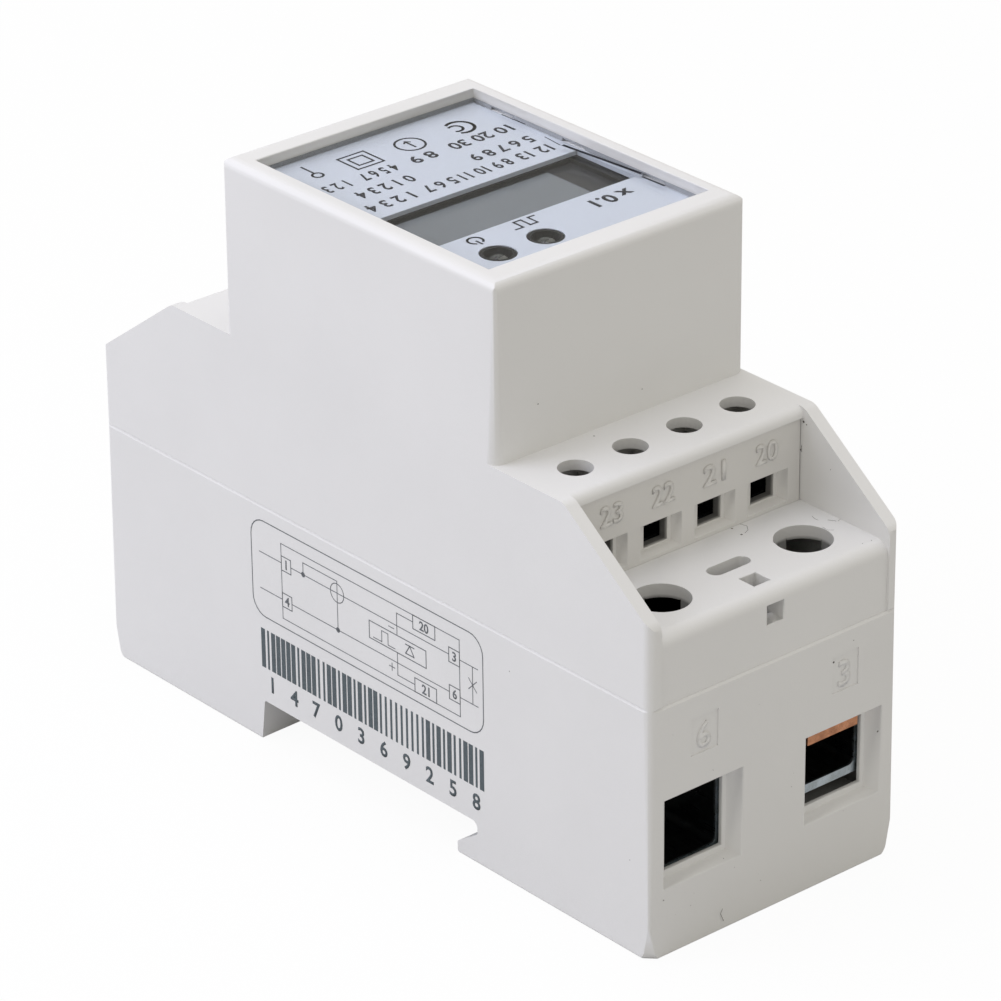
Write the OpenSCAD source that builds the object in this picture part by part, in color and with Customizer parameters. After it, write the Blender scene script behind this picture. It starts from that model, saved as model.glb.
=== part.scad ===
// Two-module DIN rail energy meter, in millimetres.
// X runs along the rail, Y from the numbered near end to the far end, Z from the rail to the display.

/* [Housing] */
// width along the rail
width = 35.4; // [32:0.1:40]
// length over both ends
length = 91.7; // [86:0.1:110]
// height of the parting line
seam_z = 29.7; // [28:0.1:32]
// top of the end walls, at the foot of the slopes
end_z = 39.1; // [38.6:0.1:42]
// height of the shoulders beside the tower
shoulder_z = 48.8; // [48:0.1:54]
// height of the display rim
top_z = 69.4; // [66:0.1:80]
// length of each sloping cheek
slope_run = 13.3; // [12:0.1:14]
// length of the near shoulder, over the auxiliary terminals
shoulder_near = 10.65; // [10.2:0.05:11.4]
// length of the far shoulder
shoulder_far = 9.45; // [7:0.05:10]
// moulded wall
wall = 1.8; // [1.4:0.1:2.2]
// wall of the side cheeks
cheek = 1.6; // [1.2:0.1:2]
// taper of each half of the housing, per side
draft = 0.15; // [0.05:0.05:0.3]
// radius of the upright edges
edge_r = 1.2; // [0.6:0.1:2]
// chamfer that shows as the parting groove
seam_groove = 0.2; // [0.1:0.05:0.4]

/* [Decks] */
// height of the main terminal deck
deck_z = 37.8; // [37:0.1:38.4]
// thickness of the deck
deck_plate = 1.6; // [1.4:0.1:2.2]
// radius along the front edge of the deck
deck_r = 1.5; // [0.8:0.1:2]
// thickness of the shoulder plate
shoulder_plate = 1.2; // [1:0.1:1.6]
// depth of the end panel between the cheeks
end_recess = 0.3; // [0.2:0.05:0.6]
// length of the sealing slot
seal_slot = 5.6; // [4:0.1:7]
// width of the sealing slot
seal_slot_w = 2.0; // [1.4:0.1:2.4]
// side of the sealing wire hole
seal_hole = 2.3; // [1.6:0.1:2.6]

/* [Display] */
// rim beside the lens
rim_side = 2.3; // [2:0.1:3]
// rim at the near end of the lens
rim_near = 3.5; // [3:0.1:4.5]
// rim at the far end of the lens
rim_far = 3.4; // [3:0.1:4.5]
// depth of the lens below the rim
lens_drop = 1.1; // [0.6:0.1:1.6]
// thickness of the lens
lens_t = 0.9; // [0.7:0.1:1.4]
// thickness of the printed face plate
plate_t = 0.5; // [0.4:0.1:0.8]
// plate beside the display window
lcd_side = 0.65; // [0.4:0.05:3]
// length of the display window as a share of the opening
lcd_share = 0.25; // [0.2:0.01:0.3]
// middle of the display window as a share of the opening
lcd_along = 0.4055; // [0.38:0.0005:0.55]
// diameter of an indicator
led_d = 3.0; // [2.6:0.1:3.2]
// distance between the indicators
led_pitch = 6.55; // [6:0.05:9]
// from the rim beside the lens to the middle of the pair of indicators
led_in = 9; // [7.5:0.05:15]
// middle of the indicators as a share of the opening
led_along = 0.1365; // [0.13:0.0005:0.15]

/* [Main terminals] */
// distance from a side of the housing to a main screw
main_side = 7.65; // [7.5:0.05:8]
// distance from the end of the housing to a main screw
main_inset = 6.75; // [6.6:0.05:7.2]
// screwdriver hole
main_hole = 6.4; // [5.5:0.1:6.6]
// width of a wire window
window_w = 11.2; // [10:0.1:12]
// height of a wire window
window_h = 10.55; // [9.8:0.05:10.6]
// sill of a wire window
window_z = 8.1; // [8:0.05:9]
// side of the funnel in a wire window
funnel = 1.1; // [0.8:0.1:1.3]
// lip at the bottom of the funnel
window_lip = 0.45; // [0.4:0.05:0.9]
// width of a main cage
cage_w = 9.6; // [9:0.1:9.8]
// length of a main cage
cage_l = 8.6; // [7.6:0.1:8.8]
// side wall of a main cage
cage_wall = 0.9; // [0.7:0.1:1]
// floor of a main cage
cage_floor = 1; // [0.8:0.1:1.2]
// threaded top of a main cage
cage_top = 3.6; // [3:0.1:4]
// thread diameter of a main screw
main_d = 5; // [4:0.5:5]
// thread pitch of a main screw
main_thread = 0.8; // [0.7:0.1:0.8]
// turns from open to closed
main_turns = 7.5; // [6:0.5:7.5]
// turns that cage 3 is closed as shown
shown_turns = 2.5; // [0:0.25:4]
// thickness of the busbars
bar_t = 1.2; // [1:0.1:1.4]
// width of the busbars
bar_w = 7.4; // [6:0.1:7.6]
// length of the measuring shunt
shunt_l = 12; // [8:1:18]

/* [Auxiliary terminals] */
// width outside the row of terminals, both sides together
aux_side = 5; // [4.6:0.1:6.2]
// screwdriver hole
aux_hole = 3.85; // [3.6:0.05:4.2]
// distance from the edge of the shoulder to the screws
aux_inset = 5.2; // [5:0.05:5.4]
// width of a wire window
aux_window_w = 5.8; // [5:0.1:6.2]
// height of a wire window
aux_window_h = 3.9; // [3.6:0.1:4.1]
// thread diameter of an auxiliary screw
aux_d = 3; // [2.5:0.5:3]
// thread pitch of an auxiliary screw
aux_thread = 0.5; // [0.4:0.05:0.5]
// turns from open to closed
aux_turns = 4; // [3:0.5:4]

/* [Rail] */
// width of the rail
rail_w = 35; // [34:0.5:36]
// roof of the rail recess
roof_z = 5.2; // [5:0.1:6]
// reach of the fixed hook
hook_reach = 3.35; // [2.5:0.05:4]
// height of the gap that holds the rail flange
flange_gap = 1.5; // [1.2:0.1:1.8]
// grip of the sliding latch on the rail
latch_grip = 1.45; // [1:0.05:2]
// width of the sliding latch
latch_w = 12; // [10:0.5:14]
// travel of the sliding latch
latch_travel = 3; // [2.5:0.5:4]

/* [Hidden] */
$fn = 48;
eps = 0.02;
play = 0.1;
run = 0.05;
half_w = width / 2;
half_l = length / 2;
inner_x = half_w - cheek;
cavity_x = half_w - wall;
edge_y = half_l - slope_run;
panel_y = half_l - end_recess;
cavity_y = panel_y - wall;
ledge = 1.2;
lens_z = top_z - lens_drop - lens_t;
plate_z = lens_z - plate_t;
tower_near = edge_y - shoulder_near;
tower_far = edge_y - shoulder_far;
rim_x = half_w - draft - rim_side;
rim_y0 = -tower_near + rim_near;
rim_y1 = tower_far - rim_far;
lcd_w = 2 * (rim_x - lcd_side);
rim_l = rim_y1 - rim_y0;
lcd_l = rim_l * lcd_share;
lcd_y = rim_y0 + rim_l * lcd_along;
led_x = -rim_x + led_in;
led_y = rim_y0 + rim_l * led_along;
tower_in0 = -tower_near + wall;
tower_in1 = tower_far - wall;
tab_l = 3.6;
tab_reach = 0.6;
tab_t = 0.6;
tab_spots = [0.87, 0.56, 0.22];

main_x = half_w - main_side;
main_y = half_l - main_inset;
funnel_deep = 1.6;
sill_z = window_z + funnel + window_lip - 0.4;
bar_z = sill_z + window_h - funnel - 1.9;
bar_top = bar_z + bar_t;
bar_end = main_y + cage_l / 2;
bar_in = 1;
cage_z = sill_z - cage_floor;
cage_open_top = bar_top + 0.2;
cage_h = cage_open_top + cage_top - cage_z;
main_travel = main_turns * main_thread;
shown_lift = shown_turns * main_thread;
main_tip_z = bar_top + play;
main_head_d = main_hole + 0.8;
main_head_z = cage_z + cage_h + main_travel + 0.3;
main_head_h = 3;
chamber_gap = 0.2;
chamber_wall = 1.2;
chamber_w = cage_w + 2 * chamber_gap;
chamber_l = cage_l + 2 * chamber_gap;
chamber_in = main_y - chamber_l / 2 - chamber_wall;
floor_z = roof_z + 1.6;

aux_n = 4;
aux_pitch = (width - aux_side) / aux_n;
aux_y = edge_y - aux_inset;
block_gap = 0.1;
block_x = inner_x - block_gap;
block_y0 = -edge_y + 0.35;
block_y1 = -tower_near - block_gap;
block_top = shoulder_z - shoulder_plate - run;
block_wall = 1.8;
aux_sill = deck_z + 0.45;
aux_in_w = 3.3;
aux_in_sill = aux_sill + 0.7;
aux_cage_w = 5;
aux_cage_l = 5;
aux_cage_wall = 0.6;
aux_cage_floor = 0.7;
aux_cage_top = 1.4;
aux_cage_z = aux_in_sill - aux_cage_floor + 0.1;
contact_t = 0.5;
contact_w = 3;
contact_z = aux_cage_z + aux_cage_floor + aux_turns * aux_thread + 0.2;
aux_cage_h = contact_z + contact_t + 0.1 + aux_cage_top - aux_cage_z;
aux_tip_z = contact_z + contact_t + 0.05;
aux_head_z = aux_cage_z + aux_cage_h + aux_turns * aux_thread + 0.1;
aux_head_d = aux_hole - 0.25;
aux_pocket_w = aux_cage_w + 0.4;
aux_pocket_l = aux_cage_l + 0.4;

board_t = 1.6;
board_z = bar_top + 2.8;
board_top = board_z + board_t;
board_y = chamber_in - 1.6;
board_x = cavity_x - 1.2;
boss_x = main_x - bar_w / 2 - 3.2;
boss_y = board_y - 3;
display_t = 1.6;
lcd_deep = 4.5;
holder_side = 2.6;
holder_half = 2.4;
holder_h = 2;
collar_t = 0.45;
display_z = plate_z - lcd_deep - display_t;
display_top = display_z + display_t;
pin_d = 1;
hole_play = 0.1;
header_y = tower_in1 - 3;
header_pitch = 2.54;
header_pins = 8;
header_w = header_pitch * header_pins;
part_x = board_x / 2 + 0.6;
film = [7, header_y - 3.3, 13];
can_d = 10;
can_h = 16;
disc_d = 10;
disc_t = 4;
opto_x = 5.5;
opto_y = board_y - 6.8;
opto_l = 4.6;
opto_w = 6.4;
opto_h = 3.5;
chip = [7.5, header_y - 5.5, 2.3];
can_crystal = [10.4, 4.4, 3.5];
logic = [10, 10, 1.6];
logic_at = [-3, 2];

notch_y = (rail_w + 1.7) / 2;
foot_y = notch_y - 0.3;
hook_z = roof_z - flange_gap;
rail_edge = -notch_y + rail_w;
latch_tip = rail_edge - latch_grip;
latch_z = 0.6;
latch_top = hook_z - 0.1;
channel_top = latch_top + 0.2;
runner = 0.9;
runner_z = 1.5;
runner_h = 1.1;
spring_y0 = 25;
spring_l = 9;
spring_r = 1.05;
wire_r = 0.2;
post_l = 1.5;
slot_half = 1.6;
latch_end = half_l - 0.3;

// Extrudes a Y-Z outline along X.
module across(w) {
    rotate([90, 0, 90]) linear_extrude(w, center = true) children();
}

// Extrudes an X-Z outline along Y.
module along(l) {
    rotate([90, 0, 0]) linear_extrude(l, center = true) children();
}

module slab(x0, x1, y0, y1, z0, z1) {
    translate([x0, y0, z0]) cube([x1 - x0, y1 - y0, z1 - z0]);
}

module rod(x, y, z0, z1, r) {
    translate([x, y, z0]) cylinder(h = z1 - z0, r = r);
}

function unit(v) = v / norm(v);

// Points of one rounded corner of an outline.
function fillet(p0, p1, p2, r, n) =
    let (a = unit(p0 - p1), b = unit(p2 - p1), ang = acos(a * b))
    r <= 0 || ang > 179 ? [p1] :
    let (
        s = p1 + a * (r / tan(ang / 2)),
        c = p1 + unit(a + b) * (r / sin(ang / 2)),
        e = p1 + b * (r / tan(ang / 2)),
        a0 = atan2(s[1] - c[1], s[0] - c[0]),
        turn = atan2(e[1] - c[1], e[0] - c[0]) - a0,
        sweep = turn > 180 ? turn - 360 : turn < -180 ? turn + 360 : turn
    ) [for (i = [0:n]) c + r * [cos(a0 + sweep * i / n), sin(a0 + sweep * i / n)]];

// An outline given as rows of [x, y, corner radius].
function rounded(rows, n = 6) = let (k = len(rows)) [
    for (i = [0:k - 1])
        let (
            p = [rows[i][0], rows[i][1]],
            q = [rows[(i + k - 1) % k][0], rows[(i + k - 1) % k][1]],
            s = [rows[(i + 1) % k][0], rows[(i + 1) % k][1]]
        ) each fillet(q, p, s, rows[i][2], n)
];

module box_outline(x, y0, y1, r) {
    polygon(rounded([[-x, y0, r], [x, y0, r], [x, y1, r], [-x, y1, r]]));
}

// Square funnel that narrows into a wall, opening towards -Y at y = 0.
module funnel_cut(w, z0, z1, side, bottom, deep) {
    intersection() {
        translate([0, 0, z0 - 1]) linear_extrude(z1 - z0 + 2)
            polygon([[-w / 2 - side, -deep], [w / 2 + side, -deep], [w / 2, 0],
                [w / 2 - side, deep], [-w / 2 + side, deep], [-w / 2, 0]]);
        across(w + 2 * side + 2)
            polygon([[-deep, z0 - bottom], [-deep, z1], [deep, z1], [deep, z0 + bottom]]);
    }
}

// Repeats what it is given at both ends.
module at_ends() {
    children();
    mirror([0, 1, 0]) children();
}

// Repeats what it is given at both main terminals of an end.
module at_main() {
    for (s = [-1, 1]) translate([s * main_x, 0, 0]) children();
}

module lower_outline() {
    w0 = half_w - draft;
    intersection() {
        across(width + 2) polygon(rounded([
            [-half_l + seam_groove, seam_z, 0],
            [-half_l, seam_z - seam_groove, 0],
            [-half_l + draft, 0, 0.9],
            [-notch_y + hook_reach - 0.2, 0, 0.7],
            [-notch_y + hook_reach, hook_z - 2.2, 0.3],
            [-notch_y, hook_z, 0],
            [-notch_y, roof_z, 0.8],
            [foot_y, roof_z, 0.3],
            [foot_y + 0.8, 0, 0.7],
            [half_l - draft, 0, 0.9],
            [half_l, seam_z - seam_groove, 0],
            [half_l - seam_groove, seam_z, 0]]));
        along(length + 2) polygon(rounded([
            [-half_w + seam_groove, seam_z, 0],
            [-half_w, seam_z - seam_groove, 0],
            [-w0, 0, 1.3],
            [w0, 0, 1.3],
            [half_w, seam_z - seam_groove, 0],
            [half_w - seam_groove, seam_z, 0]]));
        linear_extrude(seam_z) box_outline(half_w, -half_l, half_l, edge_r);
    }
}

module lower_housing() {
    pad_z = seam_z - 4.9;
    color([0.86, 0.86, 0.87]) difference() {
        union() {
            difference() {
                lower_outline();
                slab(-cavity_x, cavity_x, -cavity_y, cavity_y, floor_z, seam_z + 1);
                slab(-cavity_x, cavity_x, -chamber_in + 1, -notch_y - wall, 2, floor_z + 1);
            }
            at_ends() at_main() slab(-chamber_w / 2 - chamber_wall, chamber_w / 2 + chamber_wall,
                -cavity_y - eps, -chamber_in, floor_z - eps, seam_z - 0.3);
            for (x = [-1, 1], y = [-1, 1])
                rod(x * boss_x, y * boss_y, y < 0 ? 1.8 : floor_z - eps, board_z, 2.4);
            for (s = [-1, 1]) slab(s * (cavity_x - 0.5) - 0.4, s * (cavity_x - 0.5) + 0.4,
                -chamber_in + 1, chamber_in - 1, seam_z - 3, seam_z + 1.5);
            for (s = [-1, 1]) slab(s * (cavity_x - 0.05) - 0.1, s * (cavity_x - 0.05) + 0.1,
                -chamber_in + 1, chamber_in - 1, seam_z - 3, seam_z - 0.4);
            slab(-half_w + 0.8, half_w - 0.8, -notch_y + hook_reach, -notch_y + hook_reach + 1.2,
                roof_z - 0.45, roof_z + eps);
        }
        at_ends() at_main() {
            slab(-chamber_w / 2, chamber_w / 2, -main_y - chamber_l / 2, -main_y + chamber_l / 2,
                cage_z - 0.3, seam_z + 1);
            translate([0, -half_l, 0]) funnel_cut(window_w, window_z, window_z + window_h,
                funnel, window_lip, funnel_deep);
            slab(-window_w / 2 + funnel + window_lip, window_w / 2 - funnel - window_lip,
                -half_l - 1, -main_y, sill_z, window_z + window_h - 0.6);
            slab(-bar_w / 2 - 0.2, bar_w / 2 + 0.2, -main_y, -chamber_in + 1,
                bar_z - 0.2, bar_top + 0.2);
            slab(-1.9, 1.9, -half_l - 1, -half_l + 0.17, pad_z - 2.2, pad_z + 2.2);
        }
        latch_channel();
    }
    color([0.86, 0.86, 0.87]) slab(-slot_half + 0.2, slot_half - 0.2, spring_y0 + spring_l,
        spring_y0 + spring_l + post_l, latch_z, channel_top + eps);
}

// Room for the sliding latch, with a groove for its runners on each side.
module latch_channel() {
    slab(-latch_w / 2 - 0.2, latch_w / 2 + 0.2, foot_y - 1, half_l + 1, -1, channel_top);
    slab(-latch_w / 2 - runner - 0.2, latch_w / 2 + runner + 0.2, foot_y - 1, half_l + 1,
        runner_z - 0.1, runner_z + runner_h + 0.1);
}

module upper_outline() {
    tw = half_w - 2 * draft;
    near = -tower_near;
    union() {
        intersection() {
            union() {
                across(width + 2) polygon(rounded([
                    [-panel_y, seam_z, 0],
                    [panel_y, seam_z, 0],
                    [panel_y, deck_z, deck_r],
                    [edge_y, deck_z, 0],
                    [edge_y, shoulder_z, shoulder_plate - 0.1],
                    [-edge_y, shoulder_z, shoulder_plate - 0.1],
                    [-edge_y, deck_z, 0],
                    [-panel_y, deck_z, deck_r]]));
                for (s = [-1, 1]) translate([s * (inner_x + cheek), 0, 0]) across(2 * cheek)
                    polygon(rounded([
                        [-half_l + seam_groove, seam_z, 0],
                        [half_l - seam_groove, seam_z, 0],
                        [half_l, seam_z + seam_groove, 0],
                        [half_l, end_z, 1.8],
                        [edge_y, shoulder_z, 1.8],
                        [-edge_y, shoulder_z, 1.8],
                        [-half_l, end_z, 1.8],
                        [-half_l, seam_z + seam_groove, 0]]));
            }
            along(length + 2) polygon(rounded([
                [-half_w + seam_groove, seam_z, 0],
                [half_w - seam_groove, seam_z, 0],
                [half_w, seam_z + seam_groove, 0],
                [half_w, shoulder_z + 1, 0],
                [-half_w, shoulder_z + 1, 0],
                [-half_w, seam_z + seam_groove, 0]]));
            translate([0, 0, seam_z]) linear_extrude(shoulder_z)
                box_outline(half_w, -half_l, half_l, edge_r);
        }
        intersection() {
            across(width + 2) polygon(rounded([
                [near, seam_z + 1, 0],
                [tower_far, seam_z + 1, 0],
                [tower_far, shoulder_z, 0],
                [tower_far - draft, top_z, edge_r],
                [near + draft, top_z, edge_r],
                [near, shoulder_z, 0]]));
            along(length) polygon(rounded([
                [-half_w, seam_z + 1, 0],
                [half_w, seam_z + 1, 0],
                [half_w, shoulder_z, 0],
                [tw, top_z, edge_r],
                [-tw, top_z, edge_r],
                [-half_w, shoulder_z, 0]]));
            translate([0, 0, seam_z]) linear_extrude(top_z)
                box_outline(half_w, near, tower_far, edge_r + 0.2);
        }
    }
}

// Pockets that take the lens tabs.
module lens_tabs(extra) {
    for (s = [-1, 1], t = tab_spots) {
        y = rim_y0 + (rim_y1 - rim_y0) * t;
        slab(s > 0 ? rim_x - 0.5 : -rim_x - tab_reach - extra,
            s > 0 ? rim_x + tab_reach + extra : -rim_x + 0.5,
            y - tab_l / 2 - extra, y + tab_l / 2 + extra, lens_z, lens_z + tab_t + extra);
    }
}

module upper_housing() {
    skirt_bottom = seam_z + 0.2;
    collar_z = main_head_z + main_head_h + 0.2;
    collar_r = main_head_d / 2 + 1.2;
    deck_under = deck_z - deck_plate;
    seal_y = -half_l + 3.5;
    slot_y = -half_l + 7.45;
    color([0.87, 0.87, 0.86]) difference() {
        union() {
            difference() {
                upper_outline();
                across(2 * cavity_x) polygon([
                    [-cavity_y, seam_z - 1], [-cavity_y, deck_under],
                    [tower_in0, deck_under], [tower_in0, plate_z - ledge],
                    [tower_in1, plate_z - ledge], [tower_in1, shoulder_z - wall],
                    [edge_y - wall, shoulder_z - wall], [edge_y - wall, deck_under],
                    [cavity_y, deck_under], [cavity_y, seam_z - 1]]);
                slab(-inner_x, inner_x, -edge_y - 2, -tower_near, deck_z,
                    shoulder_z - shoulder_plate);
            }
            at_ends() at_main() {
                rod(0, -main_y, skirt_bottom, collar_z + 1.2, collar_r);
                for (a = [0, 90]) translate([0, -main_y, collar_z + 0.6]) rotate(a)
                    slab(-collar_r, collar_r, -0.6, 0.6, 0, deck_under + eps - collar_z - 0.6);
            }
            at_ends() {
                slab(-seal_hole / 2 - 1.2, seal_hole / 2 + 1.2, -cavity_y - eps,
                    seal_y + seal_hole / 2 + 1.2, deck_under - 3.4, deck_under + eps);
                slab(-seal_slot / 2 - 1, seal_slot / 2 + 1, slot_y - seal_slot_w / 2 - 1,
                    slot_y + seal_slot_w / 2 + 1, deck_under - 3.4, deck_under + eps);
            }
            for (x = [-1, 1]) {
                rod(x * (rim_x - 2.4), rim_y0 - 1.3, display_top, plate_z - ledge + eps, 1.3);
                rod(x * (rim_x - 2.4), rim_y1 + 0.3, display_top, plate_z - ledge + eps, 1.3);
            }
        }
        at_ends() at_main() {
            rod(0, -main_y, seam_z, deck_z + 1, main_hole / 2);
            rod(0, -main_y, seam_z, collar_z, main_head_d / 2 + 0.2);
        }
        at_ends() {
            translate([0, slot_y, seam_z]) linear_extrude(20) {
                square([seal_slot - seal_slot_w, seal_slot_w], center = true);
                for (s = [-1, 1]) translate([s * (seal_slot - seal_slot_w) / 2, 0])
                    circle(d = seal_slot_w);
            }
            slab(-seal_hole / 2, seal_hole / 2, seal_y - seal_hole / 2, seal_y + seal_hole / 2,
                deck_z - seal_hole - 2.7, deck_z + 1);
            slab(-seal_hole / 2, seal_hole / 2, -half_l - 1, seal_y,
                deck_z - seal_hole - 1.5, deck_z - 1.5);
        }
        slab(-rim_x, rim_x, rim_y0, rim_y1, plate_z, top_z + 1);
        slab(-rim_x, rim_x, rim_y0 + ledge, rim_y1 - ledge, plate_z - ledge - 1, top_z);
        lens_tabs(play);
        for (i = [0:aux_n - 1]) translate([aux_at(i), 0, 0]) {
            rod(0, -aux_y, shoulder_z - 2, shoulder_z + 1, aux_hole / 2);
            slab(-contact_w / 2 - 0.2, contact_w / 2 + 0.2, -tower_near - 1, tower_in0 + 1,
                contact_z - 0.2, contact_z + contact_t + 0.2);
        }
    }
}

// Middle of auxiliary terminal 20 + i, which stands at the right of the row.
function aux_at(i) = ((aux_n - 1) / 2 - i) * aux_pitch;

module aux_terminal_block() {
    color([0.85, 0.85, 0.84]) difference() {
        slab(-block_x, block_x, block_y0, block_y1, deck_z, block_top);
        for (i = [0:aux_n - 1]) translate([aux_at(i), 0, 0]) {
            slab(-aux_pocket_w / 2, aux_pocket_w / 2, -aux_y - aux_pocket_l / 2,
                -aux_y + aux_pocket_l / 2, aux_cage_z - 0.1, block_top + 1);
            translate([0, block_y0, 0]) funnel_cut(aux_window_w, aux_sill,
                aux_sill + aux_window_h, 0.8, 0.5, block_wall / 2);
            slab(-aux_in_w / 2, aux_in_w / 2, block_y0 - 1, -aux_y, aux_in_sill,
                aux_sill + aux_window_h - 0.3);
            slab(-contact_w / 2 - play, contact_w / 2 + play, -aux_y, block_y1 + 1,
                contact_z - play, contact_z + contact_t + play);
        }
    }
}

module display_lens() {
    color([0.92, 0.95, 0.98, 0.4]) union() {
        slab(-rim_x + play, rim_x - play, rim_y0 + play, rim_y1 - play, lens_z, lens_z + lens_t);
        intersection() {
            lens_tabs(0);
            slab(-half_w, half_w, rim_y0, rim_y1, lens_z, lens_z + tab_t);
        }
    }
}

module face_plate() {
    color([0.76, 0.79, 0.83]) difference() {
        slab(-rim_x + play, rim_x - play, rim_y0 + play, rim_y1 - play, plate_z, lens_z);
        slab(-lcd_w / 2, lcd_w / 2, lcd_y - lcd_l / 2, lcd_y + lcd_l / 2, plate_z - 1, lens_z + 1);
        for (s = [-1, 1]) rod(led_x + s * led_pitch / 2, led_y, plate_z - 1, lens_z + 1,
            led_d / 2 + collar_t + play);
    }
}

module lcd_frame() {
    inner_w = lcd_w - 2.4;
    inner_l = lcd_l - 0.7;
    color([0.08, 0.08, 0.09]) difference() {
        slab(-lcd_w / 2 - 0.2, lcd_w / 2 + 0.2, lcd_y - lcd_l / 2 - 1.4, lcd_y + lcd_l / 2 + 1.4,
            display_top, plate_z);
        slab(-inner_w / 2, inner_w / 2, lcd_y - inner_l / 2, lcd_y + inner_l / 2,
            display_top - 1, plate_z + 1);
        slab(-lcd_w / 2 + 0.5, lcd_w / 2 - 0.5, lcd_y - lcd_l / 2 - 0.6, lcd_y + lcd_l / 2 + 0.6,
            display_top - 1, plate_z - 0.5);
    }
}

module lcd_display() {
    color([0.45, 0.47, 0.48]) slab(-lcd_w / 2 + 0.6, lcd_w / 2 - 0.6, lcd_y - lcd_l / 2 - 0.5,
        lcd_y + lcd_l / 2 + 0.5, display_top, plate_z - 0.5);
}

module led_holder() {
    color([0.06, 0.06, 0.07]) difference() {
        union() {
            slab(led_x - led_pitch / 2 - holder_side, led_x + led_pitch / 2 + holder_side,
                led_y - holder_half, led_y + holder_half, display_top, display_top + holder_h);
            for (s = [-1, 1]) rod(led_x + s * led_pitch / 2, led_y, display_top, lens_z - 0.05,
                led_d / 2 + collar_t);
        }
        for (s = [-1, 1]) {
            rod(led_x + s * led_pitch / 2, led_y, display_top - 1, lens_z + 1, led_d / 2 + run);
            rod(led_x + s * led_pitch / 2, led_y, display_top - 1, display_top + 1.1,
                led_d / 2 + 0.4);
        }
    }
}

module led(s) {
    x = led_x + s * led_pitch / 2;
    color([0.75, 0.72, 0.66]) union() {
        rod(x, led_y, display_top, display_top + 1, led_d / 2 + 0.35);
        rod(x, led_y, display_top, lens_z - 0.2 - led_d / 2, led_d / 2);
        intersection() {
            translate([x, led_y, lens_z - 0.2 - led_d / 2]) sphere(d = led_d);
            slab(x - 5, x + 5, led_y - 5, led_y + 5, lens_z - 0.2 - led_d / 2, lens_z);
        }
    }
}

module led_power() {
    led(-1);
}

module led_pulse() {
    led(1);
}

module din_clip() {
    ramp = 1.6;
    color([0.3, 0.31, 0.32]) difference() {
        union() {
            across(latch_w) polygon(rounded([
                [latch_tip, latch_top, 0.3], [latch_tip, latch_top - 1.2, 0.2],
                [latch_tip + ramp, latch_z, 0], [latch_end, latch_z, 0.5],
                [latch_end, latch_top, 0.5]]));
            for (s = [-1, 1]) slab(s * latch_w / 2 - runner, s * latch_w / 2 + runner,
                foot_y + 2.5, latch_end - 3, runner_z, runner_z + runner_h);
        }
        slab(-slot_half, slot_half, spring_y0, spring_y0 + spring_l + post_l + play,
            latch_z - 1, latch_top + 1);
        slab(-3, 3, latch_end - 3, latch_end - 1.4, latch_z - 1, latch_top + 1);
    }
}

// Compression spring in the latch, one ring of points for each step along the wire.
module clip_spring() {
    turns = 7;
    steps = turns * 12;
    sides = 6;
    reach = spring_l - 2 * wire_r - 2 * play;
    mid = (latch_z + latch_top) / 2;
    points = [for (i = [0:steps], j = [0:sides - 1])
        let (a = i * 30, r = spring_r + wire_r * cos(j * 360 / sides))
        [r * cos(a), spring_y0 + play + wire_r + reach * i / steps + wire_r * sin(j * 360 / sides),
            mid + r * sin(a)]];
    sideways = [for (i = [0:steps - 1], j = [0:sides - 1]) let (k = (j + 1) % sides)
        [i * sides + j, i * sides + k, (i + 1) * sides + k, (i + 1) * sides + j]];
    color([0.6, 0.61, 0.62]) polyhedron(
        points = points,
        faces = concat([[for (j = [sides - 1:-1:0]) j]], sideways,
            [[for (j = [0:sides - 1]) steps * sides + j]]));
}

module main_cage(side, end, lift) {
    color([0.74, 0.76, 0.79]) translate([side * main_x, end * main_y, cage_z + lift]) difference() {
        linear_extrude(cage_h) box_outline(cage_w / 2, -cage_l / 2, cage_l / 2, 0.6);
        along(cage_l + 2) polygon(rounded([
            [-cage_w / 2 + cage_wall, cage_floor, 0.8],
            [cage_w / 2 - cage_wall, cage_floor, 0.8],
            [cage_w / 2 - cage_wall, cage_h - cage_top, 0.3],
            [-cage_w / 2 + cage_wall, cage_h - cage_top, 0.3]]));
        rod(0, 0, cage_h / 2, cage_h + 1, main_d / 2 + run);
    }
}

module main_screw(side, end) {
    x = side * main_x;
    y = end * main_y;
    head_top = main_head_z + main_head_h;
    color([0.8, 0.8, 0.78]) difference() {
        union() {
            rod(x, y, main_tip_z, main_head_z + eps, main_d / 2);
            rod(x, y, main_head_z, head_top, main_head_d / 2);
        }
        slab(x - main_head_d, x + main_head_d, y - 0.5, y + 0.5, head_top - 1.5, head_top + 1);
        slab(x - 0.5, x + 0.5, y - 2, y + 2, head_top - 1.5, head_top + 1);
    }
}

module main_cage_1() {
    main_cage(1, 1, 0);
}

module main_cage_3() {
    main_cage(1, -1, shown_lift);
}

module main_cage_4() {
    main_cage(-1, 1, 0);
}

module main_cage_6() {
    main_cage(-1, -1, 0);
}

module main_screw_1() {
    main_screw(1, 1);
}

module main_screw_3() {
    main_screw(1, -1);
}

module main_screw_4() {
    main_screw(-1, 1);
}

module main_screw_6() {
    main_screw(-1, -1);
}

module busbar(side, y0, y1) {
    color([0.78, 0.5, 0.34]) slab(side * main_x - bar_w / 2, side * main_x + bar_w / 2,
        y0, y1, bar_z, bar_top);
}

module live_in_busbar() {
    busbar(1, shunt_l / 2, bar_end - bar_in);
}

module live_out_busbar() {
    busbar(1, play - bar_end, -shunt_l / 2);
}

module neutral_busbar() {
    busbar(-1, bar_in - bar_end, bar_end - bar_in);
}

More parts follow.
